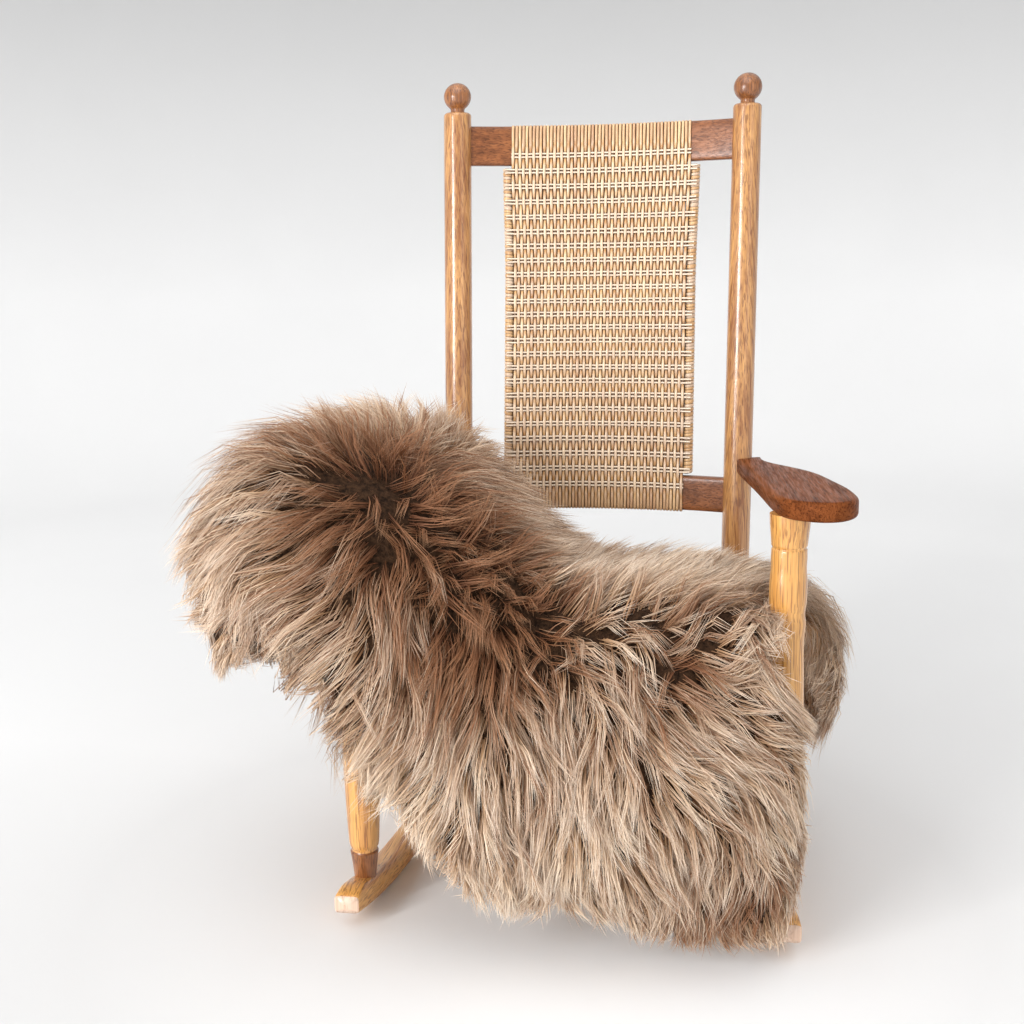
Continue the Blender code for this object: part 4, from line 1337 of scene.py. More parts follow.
SECTIONS = (
    Section(back=(-0.360, 0.330, 0.440), rest=(-0.406, 0.160, 0.385), notch=(-0.412, 0.040, 0.368),
            crest=(-0.402, -0.048, 0.362), hem=(-0.334, -0.102, 0.384), arch=0.004, belly=0.012, facing=50,
            pile=0.060, behind=(-0.80, 0.00, -0.60), before=(-0.70, 0.00, -0.75), low=(-0.55, 0.00, -0.85)),
    Section(back=(-0.366, 0.352, 0.500), rest=(-0.402, 0.160, 0.476), notch=(-0.410, 0.030, 0.464),
            crest=(-0.396, -0.068, 0.452), hem=(-0.268, -0.116, 0.390), arch=0.004, belly=0.016, facing=44,
            pile=0.072, behind=(-1.00, 0.00, -0.20), before=(-0.80, 0.00, -0.60), low=(-0.28, 0.00, -1.00)),
    Section(back=(-0.340, 0.376, 0.540), rest=(-0.374, 0.160, 0.540), notch=(-0.380, 0.030, 0.536),
            crest=(-0.372, -0.074, 0.520), hem=(-0.212, -0.112, 0.368), arch=0.004, belly=0.026, facing=24,
            pile=0.082, behind=(-1.00, 0.05, 0.10), before=(-0.80, 0.00, -0.55), low=(-0.28, 0.00, -1.00)),
    Section(back=(-0.285, 0.390, 0.545), rest=(-0.318, 0.160, 0.552), notch=(-0.322, 0.030, 0.556),
            crest=(-0.320, -0.082, 0.540), hem=(-0.176, -0.110, 0.272), arch=0.002, belly=0.036, facing=10,
            pile=0.088, behind=(-0.75, 0.25, 0.45), before=(-0.75, 0.00, -0.65), low=(-0.28, 0.00, -1.00)),
    Section(back=(-0.215, 0.394, 0.530), rest=(-0.238, 0.160, 0.544), notch=(-0.240, 0.030, 0.548),
            crest=(-0.242, -0.078, 0.528), hem=(-0.140, -0.106, 0.182), arch=0.004, belly=0.042, facing=4,
            pile=0.088, behind=(0.15, 0.70, 0.60), before=(-0.50, 0.00, -0.85), low=(-0.40, 0.00, -0.90)),
    Section(back=(-0.150, 0.394, 0.474), rest=(-0.158, 0.160, 0.494), notch=(-0.157, 0.030, 0.505),
            crest=(-0.155, -0.066, 0.482), hem=(-0.096, -0.104, 0.130), arch=0.000, belly=0.042, facing=2,
            pile=0.082, behind=(0.95, 0.25, -0.10), before=(-0.10, 0.00, -1.00), low=(-0.20, 0.00, -1.00)),
    Section(back=(-0.074, 0.392, 0.396), rest=(-0.078, 0.160, 0.416), notch=(-0.077, 0.030, 0.434),
            crest=(-0.076, -0.056, 0.420), hem=(-0.048, -0.102, 0.116), arch=-0.004, belly=0.046, facing=0,
            pile=0.076, behind=(0.95, 0.20, -0.15), before=(0.20, 0.00, -1.00), low=(0.05, 0.00, -1.00)),
    Section(back=(0.008, 0.390, 0.350), rest=(0.000, 0.160, 0.368), notch=(0.000, 0.030, 0.387),
            crest=(0.000, -0.052, 0.386), hem=(0.016, -0.100, 0.112), arch=-0.002, belly=0.050, facing=0,
            pile=0.070, behind=(0.80, 0.50, 0.30), before=(0.35, 0.00, -0.95), low=(0.15, 0.00, -1.00)),
    Section(back=(0.090, 0.388, 0.347), rest=(0.082, 0.160, 0.368), notch=(0.078, 0.030, 0.384),
            crest=(0.074, -0.050, 0.382), hem=(0.080, -0.097, 0.094), arch=-0.002, belly=0.050, facing=0,
            pile=0.068, behind=(0.75, 0.55, 0.35), before=(0.50, 0.00, -0.88), low=(0.25, 0.00, -1.00)),
    Section(back=(0.172, 0.384, 0.347), rest=(0.168, 0.150, 0.369), notch=(0.146, 0.030, 0.384),
            crest=(0.142, -0.048, 0.381), hem=(0.142, -0.093, 0.080), arch=-0.002, belly=0.046, facing=-8,
            pile=0.064, behind=(0.75, 0.55, 0.35), before=(0.70, -0.05, -0.70), low=(0.25, 0.00, -1.00)),
    Section(back=(0.236, 0.372, 0.352), rest=(0.236, 0.145, 0.374), notch=(0.188, 0.034, 0.384),
            crest=(0.184, -0.045, 0.380), hem=(0.196, -0.090, 0.070), arch=0.000, belly=0.040, facing=-20,
            pile=0.054, behind=(0.85, 0.50, 0.10), before=(0.97, -0.20, -0.28), low=(0.15, 0.00, -1.00)),
    Section(back=(0.276, 0.356, 0.330), rest=(0.290, 0.134, 0.380), notch=(0.212, 0.046, 0.384),
            crest=(0.214, -0.048, 0.378), hem=(0.226, -0.088, 0.064), arch=0.000, belly=0.036, facing=-40,
            pile=0.050, behind=(0.85, 0.10, -0.40), before=(1.00, -0.40, -0.08), low=(-0.05, -0.05, -1.00)),
    Section(back=(0.292, 0.335, 0.240), rest=(0.320, 0.118, 0.300), notch=(0.228, 0.056, 0.388),
            crest=(0.230, -0.052, 0.374), hem=(0.244, -0.086, 0.062), arch=-0.050, belly=0.028, facing=-60,
            pile=0.050, behind=(0.10, -0.45, -0.90), before=(1.00, -0.50, -0.10), low=(-0.15, -0.05, -1.00),
            rise=0.044),
)


def outside_by(x: np.ndarray, y: np.ndarray, outline: Outline) -> np.ndarray:
    """How far places are outside a closed outline, 0 within it.

    Each side of the outline gives its nearest point, and a place is inside if a line from it
    crosses an odd number of sides.

    Args:
        x: the places' x.
        y: the places' y.
        outline: corners in order.

    Returns:
        Distances in the shape of x.
    """
    inside = np.zeros(np.shape(x), bool)
    nearest = np.full(np.shape(x), np.inf)
    for (ax, ay), (bx, by) in zip(outline, outline[1:] + outline[:1]):
        wide, deep = bx - ax, by - ay
        along = np.clip(((x - ax) * wide + (y - ay) * deep) / (wide**2 + deep**2), 0, 1)
        nearest = np.minimum(nearest, np.hypot(x - ax - along * wide, y - ay - along * deep))
        if deep:
            inside ^= ((ay > y) != (by > y)) & (x < ax + (y - ay) * wide / deep)
    return np.where(inside, 0.0, nearest)


def rest_on_wood(points: np.ndarray, clear: float) -> None:
    """Lifts points, in place, to lie clear of the seat and the left arm and to roll off their edges.

    Past an edge the lowest height falls by the square of the distance.

    Args:
        points: places, in the chair's frame.
        clear: least height over the wood.
    """
    x, y = points[..., 0], points[..., 1]
    left_arm = [(-px, py) for px, py in LINES.arm_outline()]
    for outline, top in ((LINES.seat_outline(), LINES.seat_top), (left_arm, LINES.arm_top)):
        away = outside_by(x, y, outline)
        lowest = top(y) + clear - np.maximum(away - 0.007, 0) ** 2 / 0.030
        near = (away < 0.020) & (points[..., 2] > top(y) - 0.045)
        points[..., 2] = np.where(near, np.maximum(points[..., 2], lowest), points[..., 2])


def keep_off_posts(points: np.ndarray, clear: float) -> None:
    """Pushes points, in place, straight out of the two front posts and of a space round them."""
    radius = LINES.front_top_radius + clear
    for side in Side:
        dx = points[..., 0] - side.value * LINES.front_half
        dy = points[..., 1].copy()
        away = np.hypot(dx, dy)
        near = (away < radius) & (points[..., 2] < LINES.arm_top(0))
        push = np.where(near, radius / np.maximum(away, 1e-6), 1.0)
        points[..., 0] = side.value * LINES.front_half + dx * push
        points[..., 1] = dy * push


def keep_before_back(points: np.ndarray) -> None:
    """Keeps points, in place, in front of the back posts and the low rail."""
    post_y = LINES.depth + LINES.lean * np.maximum(points[..., 2] - LINES.bend_z, 0)
    points[..., 1] = np.minimum(points[..., 1], post_y - LINES.post_radius - 0.005)


def unit(vectors: np.ndarray) -> np.ndarray:
    """Vectors at length 1."""
    return vectors / np.maximum(np.linalg.norm(vectors, axis=-1, keepdims=True), 1e-9)


@dataclass
class Fleece:
    """The draped hide as grids, with what the wool needs to know at each place of it."""

    hide: np.ndarray
    normal: np.ndarray
    depth: np.ndarray
    row_step: np.ndarray
    column_step: np.ndarray
    lie: np.ndarray
    rim_out: np.ndarray
    rim_near: np.ndarray
    wild: np.ndarray
    u: np.ndarray
    v: np.ndarray

    def at(self, name: str, row: np.ndarray, column: np.ndarray) -> np.ndarray:
        """One of the grids between its places, mixed from the four round each place.

        Args:
            name: the grid's name.
            row: fractional rows.
            column: fractional columns.

        Returns:
            Values in the shape of row, with the grid's own last part.
        """
        grid = getattr(self, name)
        i = np.clip(row.astype(int), 0, grid.shape[0] - 2)
        j = np.clip(column.astype(int), 0, grid.shape[1] - 2)
        a, b = row - i, column - j
        if grid.ndim == 3:
            a, b = a[..., None], b[..., None]
        return ((1 - a) * (1 - b) * grid[i, j] + a * (1 - b) * grid[i + 1, j]
                + (1 - a) * b * grid[i, j + 1] + a * b * grid[i + 1, j + 1])

    def inside(self, row: np.ndarray, column: np.ndarray) -> tuple[np.ndarray, np.ndarray]:
        """Rows and columns kept within the grid."""
        rows, columns = self.u.shape
        return np.clip(row, 0, rows - 1), np.clip(column, 0, columns - 1)


@dataclass(frozen=True)
class ToneAndPaintedShade:
    """A place of the coat that is darker, or lighter where dark is negative: partly the wool's own tone,
    partly painted shade, and painted light where it is lighter.
    """

    centre: Place
    reach: float
    dark: float

    def at(self, places: np.ndarray) -> np.ndarray:
        """How much darker the coat is at some places: a bell curve of the distance."""
        away = np.linalg.norm(places - np.array(self.centre), axis=-1)
        return self.dark * np.exp(-(away / self.reach) ** 2)


@dataclass
class Sheepskin:
    """The draped sheepskin: a thin hide, the short wool on it and the long wool in locks.

    rim_shares are the parts of the rim's locks at the left, right, back and front edge. reaches,
    lengths and hangs are (place from the left edge to the right one, value) rows: how far locks
    reach past the rim, how long they are and how much they hang straight down there. parting has
    (section, place from its notch to its crest) rows. From flap on, the right edge hangs down beside
    the seat, and flap_reaches are (place from the back to the front, factor) steps of its reach.
    corner is the span of such places where the front corner's locks stand out level.
    """

    rows: int = 56
    columns: int = 36
    settle: int = 4
    hide_thick: float = 0.0025
    undercoat_share: float = 0.42
    locks: int = 6450
    rim_locks: int = 1000
    strands: int = 15
    hair: float = 0.084
    reach_past_rim: float = 0.046
    strand_half: float = 0.00054
    pieces: int = 5
    seed: int = 23
    steps: tuple[float, ...] = (0.10, 0.40, 0.70, 1.0)
    widths: tuple[float, ...] = (1.1, 1.05, 0.8)
    rim_shares: tuple[float, ...] = (0.12, 0.38, 0.17, 0.33)
    reaches: Curve = ((0, 0.7), (0.06, 0.9), (0.12, 1.5), (0.25, 1.6), (0.35, 1.4), (0.8, 0.9), (0.88, 1.0))
    lengths: Curve = ((0, 0.88), (0.28, 0.92), (0.42, 1.0))
    hangs: Curve = ((0, 0.3), (0.06, 0.4), (0.12, 0.7), (0.25, 0.7), (0.4, 0.3), (0.5, 0.0))
    parting: Curve = ((3, 0.2), (4, 0.3), (5, 0.8), (6, 1.0), (9, 1.15), (12, 0.3))
    flap: tuple[float, float] = (0.82, 0.94)
    flap_reaches: Curve = ((0.50, 1.8), (0.61, 1.8), (0.70, 0.9), (1.01, 0.35))
    corner: tuple[float, float] = (0.48, 0.61)
    corner_longer: float = 1.35
    corner_lift: float = 0.012
    past_rim_drop: float = 0.30
    wild_turn: float = 4.5
    wild_shorter: float = 0.55
    down: Place = (-0.12, -0.28, -0.95)
    inwards: Place = (-0.35, -0.10, 0.0)
    box_low: tuple[float, float] = (-0.4900, -0.2400)
    box_high: float = 0.3700
    box_soft: float = 0.022
    nose_top: float = 0.060
    nose_half: float = 0.020
    before_nose: float = -0.074
    over_floor: float = 0.006
    # The darkest places, in the fold beside the arm, along the parting's valley and at the front right
    # corner, are painted shade; the lighter places under the lobe and on the seat are partly painted light;
    # the others are the coat's own tone.
    tone_and_painted_shades: tuple[ToneAndPaintedShade, ...] = (
        ToneAndPaintedShade((-0.130, -0.085, 0.440), 0.090, 1.00), ToneAndPaintedShade((-0.210, -0.040, 0.540), 0.085, 0.65),
        ToneAndPaintedShade((-0.260, 0.060, 0.560), 0.130, 0.52), ToneAndPaintedShade((-0.040, -0.090, 0.370), 0.070, 0.35),
        ToneAndPaintedShade((0.205, -0.120, 0.110), 0.075, 0.50), ToneAndPaintedShade((0.140, -0.070, 0.370), 0.080, 0.38),
        ToneAndPaintedShade((0.200, 0.060, 0.380), 0.070, 0.15), ToneAndPaintedShade((-0.060, -0.150, 0.220), 0.060, 0.22),
        ToneAndPaintedShade((-0.200, -0.150, 0.270), 0.090, -0.34), ToneAndPaintedShade((0.050, -0.150, 0.250), 0.080, -0.25),
        ToneAndPaintedShade((0.050, 0.060, 0.400), 0.130, -0.42), ToneAndPaintedShade((-0.100, -0.150, 0.160), 0.060, -0.15))

    def lay(self) -> Fleece:
        """Drapes the hide: a spline net through the sections, settled on the wood.

        The wool's depth comes from the sections too, and falls by an exponential towards the rim.
        Which way the wool lies changes at the parting by a soft step, and again down at the hem.

        Returns:
            The hide and what its wool needs to know.
        """
        net = np.array([section.points() for section in SECTIONS])
        knots_u, knots_v = (np.concatenate([[0], np.cumsum(
            np.linalg.norm(np.diff(net, axis=way), axis=2).mean(axis=1 - way))]) for way in (0, 1))
        u = np.linspace(0, knots_u[-1], self.rows + 1)
        v = np.linspace(0, knots_v[-1], self.columns + 1)
        over_u, over_v = spline_weights(knots_u, u), spline_weights(knots_v, v)
        hide = np.einsum("ai,ijk,bj->abk", over_u, net, over_v)
        for _ in range(self.settle):
            self.rest(hide)
            inner = hide[1:-1, 1:-1]
            around = hide[:-2, 1:-1] + hide[2:, 1:-1] + hide[1:-1, :-2] + hide[1:-1, 2:]
            inner += 0.5 * (around / 4 - inner)
        self.rest(hide)
        row_step, column_step = np.gradient(hide, axis=0), np.gradient(hide, axis=1)
        across, along = unit(row_step), unit(column_step)
        normal = unit(np.cross(along, across))
        pile = over_u @ np.array([section.pile for section in SECTIONS])
        u, v = np.meshgrid(u, v, indexing="ij")
        edges = np.stack([u, knots_u[-1] - u, v, knots_v[-1] - v])
        depth = pile[:, None] * (1 - 0.45 * np.exp(-edges.min(axis=0) / 0.030))
        depth = depth * (1 - 0.40 * np.exp(-edges[1] / 0.040) * (v > 0.70 * knots_v[-1]))
        ways = zip(*((section.behind, section.before, section.low) for section in SECTIONS))
        behind, front, low = (
            np.stack([np.interp(u[:, 0], knots_u, part) for part in zip(*way)], axis=1)[:, None]
            for way in ways)
        over_crest = knots_v[4] + (knots_v[5] - knots_v[4]) * np.array([place for _, place in self.parting])
        split = np.interp(u, knots_u[[section for section, _ in self.parting]], over_crest)
        split = split + 0.010 * np.sin(38 * u) + 0.006 * np.sin(83 * u + 1)
        parted = soft_step(u, 0.55 * knots_u[3] + 0.45 * knots_u[4], knots_u[4] + 0.02)
        before = soft_step(v - split, -0.050 + 0.038 * parted, 0.050 - 0.038 * parted)[..., None]
        down = soft_step(v, knots_v[5] + 0.05, knots_v[-1] - 0.04)[..., None]
        lie = behind * (1 - before) + (front * (1 - down) + low * down) * before
        wild = parted * (1 - 0.65 * soft_step(u, knots_u[6], knots_u[7]))
        wild = wild * np.exp(-((v - split) / 0.034) ** 2)
        outs = np.stack([-across, across, -0.4 * along, along])
        share = np.exp(-edges / 0.030)[..., None]
        return Fleece(hide, normal, depth, row_step, column_step, unit(lie), (outs * share).sum(axis=0),
                      share.max(axis=0)[..., 0], wild, u, v)

    @staticmethod
    def rest(hide: np.ndarray) -> None:
        """Sets the hide on the wood and off the posts, in place."""
        rest_on_wood(hide, 0.0004)
        keep_off_posts(hide, 0.006)

    def slab(self, name: str, low: np.ndarray, high: np.ndarray) -> Piece:
        """A closed skin between two grids: one is laid after the other turned round, and their rims meet.

        Args:
            name: the piece's name.
            low: the lower grid.
            high: the upper grid.

        Returns:
            The sealed object.
        """
        both = np.concatenate([low, high[::-1]], axis=0)
        rows, columns = both.shape[:2]
        number = np.arange(rows * columns).reshape(rows, columns)
        half = rows // 2
        mirror = number[half:][::-1]
        ends = [np.stack([number[:half - 1, k], number[1:half, k], mirror[1:, k], mirror[:-1, k]], 1)
                for k in (0, -1)]
        faces = np.vstack([grid_quads(rows, columns, wrap_rows=True)] + ends)
        made = fill_mesh(name, both, faces)
        seal(made)
        return made

    def draw_locks(self, fleece: Fleece, chance: np.random.Generator) -> tuple[np.ndarray, np.ndarray]:
        """Places for the locks, even by area, with more along the rim.

        Args:
            fleece: the draped hide.
            chance: the random generator.

        Returns:
            Fractional rows and columns.
        """
        over = fleece.hide[1:, 1:] - fleece.hide[:-1, :-1]
        other = fleece.hide[1:, :-1] - fleece.hide[:-1, 1:]
        area = np.linalg.norm(np.cross(over, other), axis=2) / 2
        log.info("hide area %.3f square metres", area.sum())
        total = np.cumsum(area.ravel()) / area.sum()
        draw = (np.arange(self.locks) + chance.uniform(0, 1, self.locks)) / self.locks
        cell = np.searchsorted(total, draw).clip(0, area.size - 1)
        row = cell // area.shape[1] + chance.uniform(0, 1, self.locks)
        column = cell % area.shape[1] + chance.uniform(0, 1, self.locks)
        share = chance.uniform(0, 1, self.rim_locks)
        depth = chance.uniform(0, 0.6, self.rim_locks)
        edge = chance.choice(4, self.rim_locks, p=self.rim_shares)
        rim_row = np.select([edge == 0, edge == 1], [depth, self.rows - depth], share * self.rows)
        rim_column = np.select([edge == 2, edge == 3], [depth, self.columns - depth], share * self.columns)
        row, column = np.concatenate([row, rim_row]), np.concatenate([column, rim_column])
        order = np.argsort(row)
        return row[order], column[order]

    def comb(self, fleece: Fleece, row: np.ndarray, column: np.ndarray, length: np.ndarray, high: np.ndarray,
             turn: np.ndarray) -> tuple[np.ndarray, np.ndarray]:
        """The middle line of each lock, which runs over the hide the way the wool lies.

        From step to step the place on the grid moves by the solution of the two-by-two system of the
        hide's own slopes. Past the rim it goes straight on, sinks, hangs down where the curve of hangs
        says, on the right flap also inwards, and comes to rest at a reach by an exponential. At the
        front corner of the flap it rises a little instead. The line stands over the hide by the wool's
        depth times a rise that is quick at the root and even after it.

        Args:
            fleece: the draped hide.
            row: fractional rows of the roots.
            column: fractional columns of the roots.
            length: each lock's length.
            high: each lock's share of the wool's depth.
            turn: how far each lock turns from the common way, in radians.

        Returns:
            Places and the hide's normals, each as (locks, steps, 3).
        """
        t = np.array(self.steps)
        run = 0.62 * t + 0.38 * t**2
        rise = 0.62 * (1 - (1 - t) ** 2.2) + 0.42 * t
        share = fleece.at("u", row, column) / fleece.u[-1, 0]
        level = column / self.columns
        reach = self.reach_past_rim * (0.55 + 0.9 * high) * follow(self.reaches, share)
        right = soft_step(share, *self.flap)
        flap_reach = np.select([level < end for end, _ in self.flap_reaches],
                               [factor for _, factor in self.flap_reaches])
        reach = reach * (1 + right * (flap_reach - 1))
        hang = follow(self.hangs, share) + 0.85 * right * (level < 0.50)
        level_out = right * ((level > self.corner[0]) & (level < self.corner[1]))
        down = np.array(self.down) + right[:, None] * np.array(self.inwards)
        wild = fleece.at("wild", row, column)
        turn = turn * (1 + self.wild_turn * wild)
        row, column = row.copy(), column.copy()
        places, normals = [], []
        for k in range(len(t)):
            at_row, at_column = fleece.inside(row, column)
            pull, push = (fleece.at(name, at_row, at_column) for name in ("row_step", "column_step"))
            normal = unit(fleece.at("normal", at_row, at_column))
            past = (row - at_row)[:, None] * pull + (column - at_column)[:, None] * push
            far = np.linalg.norm(past, axis=1, keepdims=True)
            kept = reach[:, None] * (1 - np.exp(-far / reach[:, None]))
            beyond = past / np.maximum(far, 1e-6) * (1 - hang[:, None]) + down * hang[:, None]
            place = fleece.at("hide", at_row, at_column) + unit(beyond) * kept
            stand = fleece.at("depth", at_row, at_column) * high * rise[k] * np.exp(-far[:, 0] / 0.09)
            place = place + normal * stand[:, None]
            place[:, 2] += self.corner_lift * level_out * t[k]
            place[:, 2] -= self.past_rim_drop * kept[:, 0] * (1 - level_out)
            places.append(place)
            normals.append(normal)
            if k + 1 == len(t):
                break
            way = fleece.at("lie", at_row, at_column) + 1.1 * fleece.at("rim_out", at_row, at_column)
            way = unit(way - normal * (way * normal).sum(axis=1, keepdims=True))
            u, v = fleece.at("u", at_row, at_column), fleece.at("v", at_row, at_column)
            swirl = (turn + 0.26 * np.sin(31 * u + 17 * v + 1.3) + 0.22 * np.sin(47 * v - 36 * u)
                     + 0.12 * np.sin(90 * u + 70 * v))
            way = way * np.cos(swirl)[:, None] + np.cross(normal, way) * np.sin(swirl)[:, None]
            step = way * (length * (1 - self.wild_shorter * wild) * (run[k + 1] - run[k]))[:, None]
            a, b, c = (pull * pull).sum(1), (pull * push).sum(1), (push * push).sum(1)
            first, second = (step * pull).sum(1), (step * push).sum(1)
            whole = np.maximum(a * c - b * b, 1e-12)
            row = row + np.clip((c * first - b * second) / whole, -4, 4)
            column = column + np.clip((a * second - b * first) / whole, -4, 4)
        return np.stack(places, 1), np.stack(normals, 1)

    def grow(self, fleece: Fleece) -> tuple[np.ndarray, np.ndarray, np.ndarray]:
        """Every strand of the long wool.

        A strand starts beside its lock's root and closes on the lock's middle line towards the tip.
        Locks sway by a sine, and strands differ in length and in a little frizz. One strand in ten
        is a stray, which stays away from its lock, paler than the others.

        Args:
            fleece: the draped hide.

        Returns:
            (curves, broad, tone): places as (strands, steps, 3), the unit vector across each
            strand's ribbon at each step, and each strand's tone.
        """
        chance = np.random.default_rng(self.seed)
        row, column = self.draw_locks(fleece, chance)
        count, t = len(row), np.array(self.steps)
        length = self.hair * chance.uniform(0.72, 1.22, count)
        length = length * (1 - 0.12 * fleece.at("rim_near", row, column))
        length = length * follow(self.lengths, row / self.rows)
        corner = (column > self.corner[0] * self.columns) & (column < self.corner[1] * self.columns)
        length = length * np.where(corner & (row > 0.85 * self.rows), self.corner_longer, 1.0)
        high = chance.uniform(0.55, 1.02, count)
        lock, normal = self.comb(fleece, row, column, length, high, chance.normal(0, 0.21, count))
        heading = unit(np.gradient(lock, axis=1))
        sideways = np.cross(normal, heading)
        sway = chance.uniform(0.0010, 0.0040, count)[:, None] * np.sin(
            t[None] * chance.uniform(4.0, 7.0, count)[:, None] + chance.uniform(0, 6.28, count)[:, None]) * t
        lock = lock + sideways * sway[..., None]
        spots = (count, self.strands)
        near_row, near_column = fleece.inside(row[:, None] + chance.normal(0, 0.32, spots),
                                              column[:, None] + chance.normal(0, 0.26, spots))
        start = fleece.at("hide", near_row, near_column) - lock[:, None, 0]
        stray = chance.uniform(0, 1, spots) < 0.10
        loose = np.where(stray, 1.2, 0.08 + 0.60 * chance.uniform(0, 1, spots) ** 2)[..., None]
        curves = lock[:, None] + start[:, :, None] * (1 - (1 - loose) * t**1.15)[..., None]
        stretch = 0.60 + 0.55 * chance.uniform(0, 1, spots) ** 0.6
        shorter = (1 - (1 - stretch[..., None]) * t**0.6)[..., None]
        curves = curves[:, :, :1] + (curves - curves[:, :, :1]) * shorter
        bend = (np.where(stray, 0.0065, 0.0024)[..., None] * t**1.5)[..., None]
        frizz = chance.normal(0, 1.0, (*spots, 1, 3)) * bend
        frizz += chance.normal(0, 0.0007, (*spots, len(t), 3)) * np.minimum(t * 3, 1)[:, None]
        curves = (curves + frizz).reshape(-1, len(t), 3)
        self.keep_clear(curves)
        root = fleece.at("hide", row, column)
        u, v = fleece.at("u", row, column), fleece.at("v", row, column)
        # Darker at the tousled parting as painted shade, and by the places of tone and painted shade.
        tone = (0.68 + 0.13 * np.sin(11 * u - 5 * v + 0.6) + 0.12 * np.sin(43 * v + 33 * u)
                - 0.35 * fleece.at("wild", row, column)
                - sum(shade.at(root) for shade in self.tone_and_painted_shades) + chance.normal(0, 0.16, count))
        tone = tone[:, None] + chance.normal(0, 0.20, spots) + 0.12 * stray
        heading = unit(np.gradient(curves, axis=1))
        broad = unit(np.cross(heading, np.repeat(normal, self.strands, axis=0)))
        roll = chance.normal(0, 0.55, len(curves))[:, None, None]
        broad = broad * np.cos(roll) + np.cross(heading, broad) * np.sin(roll)
        return curves, broad, np.clip(tone, 0.02, 0.98).ravel()

    def keep_clear(self, curves: np.ndarray) -> None:
        """Moves strands, in place, off the posts, the wood, the back, the rockers and the floor.

        Strands near the limits of the box are squeezed, so that they come close to a limit only. Low
        strands at the right rocker stay in front of its nose.
        """
        away = curves[:, 1:]
        keep_off_posts(away, 0.003)
        keep_before_back(away)
        rest_on_wood(away, 0.003)
        low = (away[..., 2] < self.nose_top) & (np.abs(away[..., 0] - LINES.front_half) < self.nose_half)
        away[..., 1] = np.where(low, np.minimum(away[..., 1], self.before_nose), away[..., 1])
        away[..., 2] = np.maximum(away[..., 2], self.over_floor)
        walls = ((0, -1, -self.box_low[0]), (1, -1, -self.box_low[1]), (0, 1, self.box_high))
        for axis, sign, limit in walls:
            past = np.maximum(sign * away[..., axis] - (limit - self.box_soft), 0)
            away[..., axis] += sign * (self.box_soft * (1 - np.exp(-past / self.box_soft)) - past)

    def ribbons(self, name: str, curves: np.ndarray, broad: np.ndarray, tone: np.ndarray) -> Piece:
        """A mesh of tapered ribbons, one for each strand, with their map OFBake.

        Two points at each step but the last, half a width to either side, and one at the tip. On the
        map a ribbon is a thin upright strip at its tone, up to the tip at 1. It starts at the first
        step, because the short wool hides the root.

        Args:
            name: the piece's name.
            curves: the strands' places.
            broad: the unit vectors across them.
            tone: their tones.

        Returns:
            The object.
        """
        count, steps = curves.shape[:2]
        wide = self.strand_half * np.array(self.widths)[None, :, None]
        left, right = curves[:, :-1] - broad[:, :-1] * wide, curves[:, :-1] + broad[:, :-1] * wide
        points = np.concatenate([np.stack([left, right], 2).reshape(count, -1, 3), curves[:, -1:]], axis=1)
        each = points.shape[1]
        pattern = []
        for k in range(steps - 2):
            a, b, c, d = 2 * k, 2 * k + 1, 2 * k + 3, 2 * k + 2
            pattern += [(a, b, c), (a, c, d)]
        pattern.append((2 * steps - 4, 2 * steps - 3, 2 * steps - 2))
        faces = np.array(pattern)[None] + (np.arange(count) * each)[:, None, None]
        piece = fill_mesh(name, points, faces.reshape(-1, 3))
        across = np.concatenate([np.tile([-0.006, 0.006], steps - 1), [0.0]])
        along = np.concatenate([np.repeat(self.steps[:-1], 2), [1.0]])
        spots = np.stack([tone[:, None] + across, np.broadcast_to(along, (count, each))], axis=2)
        layer = piece.data.uv_layers.new(name="OFBake")
        order = np.empty(len(piece.data.loops), dtype=np.int32)
        piece.data.loops.foreach_get("vertex_index", order)
        layer.data.foreach_set("uv", spots.reshape(-1, 2)[order].astype(np.float32).ravel())
        return piece

    def build(self) -> list[Piece]:
        """The hide, the short wool and the long wool, dressed."""
        fleece = self.lay()
        hide = self.slab("hide_sheet", fleece.hide, fleece.hide + fleece.normal * self.hide_thick)
        ripple = 0.004 * np.sin(61 * fleece.u + 9 * fleece.v) * np.sin(47 * fleece.v - 14 * fleece.u)
        height = fleece.depth * self.undercoat_share + ripple * np.minimum(fleece.depth / 0.04, 1)
        low = fleece.hide + fleece.normal * (self.hide_thick + 0.0002)
        high = fleece.hide + fleece.normal * np.maximum(height, self.hide_thick + 0.002)[..., None]
        rest_on_wood(high, 0.005)
        short = self.slab("short_wool", low, high)
        curves, broad, tone = self.grow(fleece)
        cuts = np.linspace(0, len(tone), self.pieces + 1).astype(int)
        wool = [self.ribbons(f"long_wool_{k + 1}", curves[a:b], broad[a:b], tone[a:b])
                for k, (a, b) in enumerate(zip(cuts, cuts[1:]))]
        dress(hide, HideFinish().material(), "wool", "sheepskin")
        dress(short, UndercoatFinish().material(), "wool")
        finish = WoolFinish().material()
        for piece in wool:
            dress(piece, finish, "wool")
        return [hide, short, *wool]


# The studio

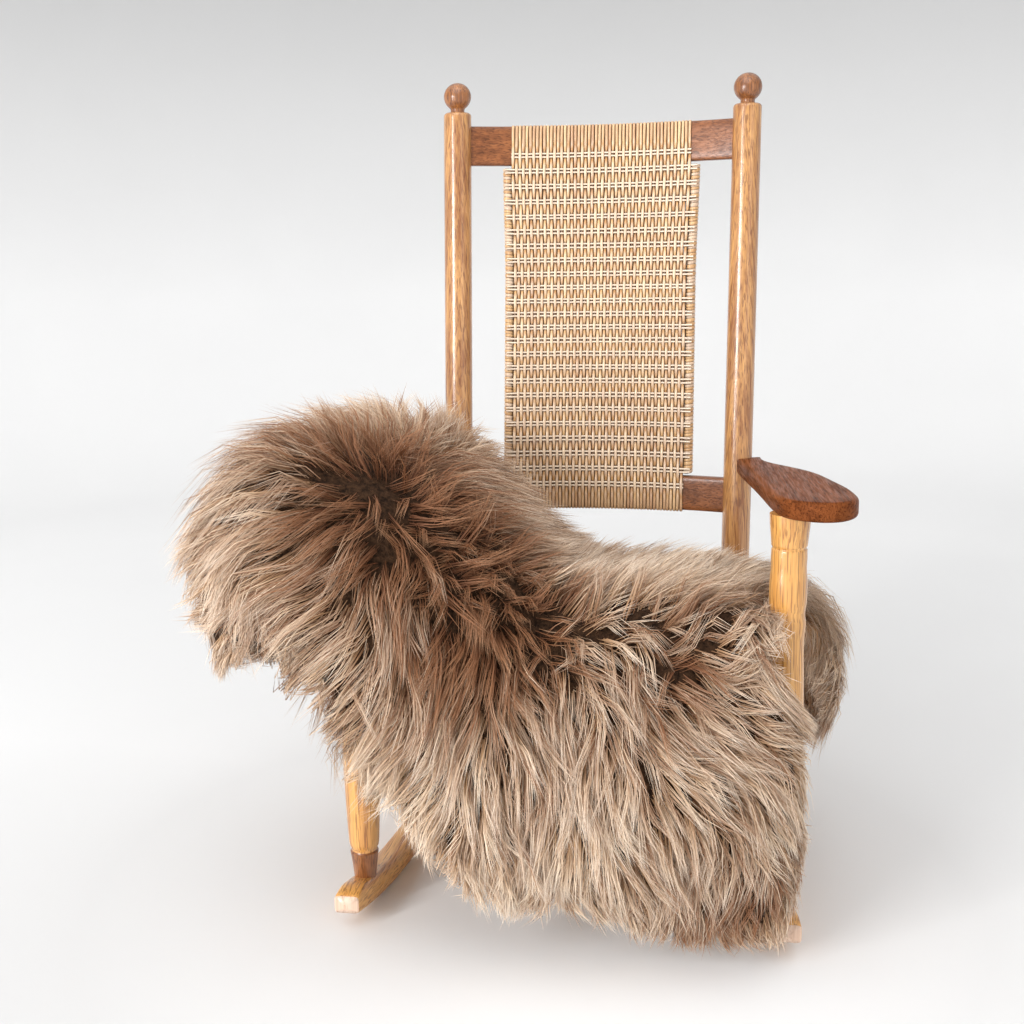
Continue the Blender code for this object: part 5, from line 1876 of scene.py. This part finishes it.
@dataclass
class Studio:
    """The pale floor that turns up into a backdrop, the soft lights and the camera."""

    camera_place: Place = (0.2148, -1.6767, 0.7893)
    lens: float = 43.25
    yaw: float = -8.71
    pitch: float = 10.6
    roll: float = -0.7
    world: float = 0.91
    floor_reach: float = 7.0
    floor_flat: float = 3.2
    floor_curve: float = 2.2

    def camera(self) -> None:
        """The camera at the photograph's viewing angle."""
        yaw, pitch, roll = (math.radians(a) for a in (self.yaw, self.pitch, self.roll))
        level = math.cos(pitch)
        ahead = np.array([math.sin(yaw) * level, math.cos(yaw) * level, -math.sin(pitch)])
        right = np.array([math.cos(yaw), -math.sin(yaw), 0.0])
        up = np.cross(right, ahead)
        level_right = right * math.cos(roll) + up * math.sin(roll)
        level_up = up * math.cos(roll) - right * math.sin(roll)
        data = bpy.data.cameras.new("camera")
        data.lens = self.lens
        data.sensor_width, data.clip_start, data.clip_end = 36.0, 0.05, 50.0
        seat = bpy.data.objects.new("camera", data)
        bpy.context.scene.collection.objects.link(seat)
        turn = np.eye(4)
        turn[:3, 0], turn[:3, 1], turn[:3, 2], turn[:3, 3] = level_right, level_up, -ahead, self.camera_place
        seat.matrix_world = mathutils.Matrix(turn.tolist())
        bpy.context.scene.camera = seat

    def backdrop(self) -> None:
        """The floor and backdrop: a wide disc that curves up at its far rim, seen the same from all round.

        The height is the square of the distance past the flat part, over a length.
        """
        rings, sides = 40, 72
        reach = np.linspace(0, 1, rings) ** 1.2 * self.floor_reach
        height = np.maximum(reach - self.floor_flat, 0) ** 2 / self.floor_curve
        turn = full_turn(sides)
        grid = spots(reach[:, None] * np.cos(turn), reach[:, None] * np.sin(turn), height[:, None] - 0.0002)
        paper = skin("studio_floor", grid - PART_SHIFT)
        if paper.data.polygons[0].normal.z < 0:
            paper.data.flip_normals()
        paper.data.materials.append(FloorFinish().material())

    def light(self, name: str, place: Place, aim: Place, size: tuple[float, float], power: float) -> None:
        """One soft area light.

        Args:
            name: its name.
            place: where it stands.
            aim: what it points at.
            size: its width and height.
            power: its power in watts.
        """
        data = bpy.data.lights.new(name, "AREA")
        data.shape = "RECTANGLE"
        data.size, data.size_y = size
        data.energy = power
        lamp = bpy.data.objects.new(name, data)
        bpy.context.scene.collection.objects.link(lamp)
        lamp.location = place
        ahead = mathutils.Vector(aim) - mathutils.Vector(place)
        lamp.rotation_euler = ahead.to_track_quat("-Z", "Y").to_euler()

    def build(self) -> None:
        """Floor, lights, world and camera."""
        self.backdrop()
        self.light("key_light", (-2.6, -4.2, 1.8), (0.0, 0.0, 0.50), (1.5, 1.7), 136.0)
        self.light("strip_light", (-1.6, -2.0, 1.02), (0.0, 0.2, 0.60), (0.20, 2.0), 26.0)
        self.light("fill_light", (2.4, -2.2, 1.9), (0.2, 0.0, 0.3), (1.8, 1.8), 10.0)
        self.light("top_light", (-0.2, -0.9, 3.0), (0.0, -0.3, 0.2), (2.2, 2.2), 26.0)
        world = bpy.data.worlds.new("studio")
        world.use_nodes = True
        shade = world.node_tree.nodes["Background"]
        shade.inputs["Color"].default_value = (1.0, 1.0, 1.0, 1.0)
        shade.inputs["Strength"].default_value = self.world
        bpy.context.scene.world = world
        bpy.context.scene.view_settings.view_transform = "Standard"
        self.camera()


def main() -> None:
    """Builds the scene."""
    logging.basicConfig(level=logging.INFO, format="%(name)s: %(message)s")
    Studio().build()
    for maker in (BackPosts(), FrontPosts(), Rockers(), Arms(), BackRails(), Stretchers(), CaneBack(),
                  Sheepskin()):
        made = maker.build()
        log.info("%s: %d pieces", type(maker).__name__, len(made))
    Seat().build()


if __name__ == "__main__":
    main()
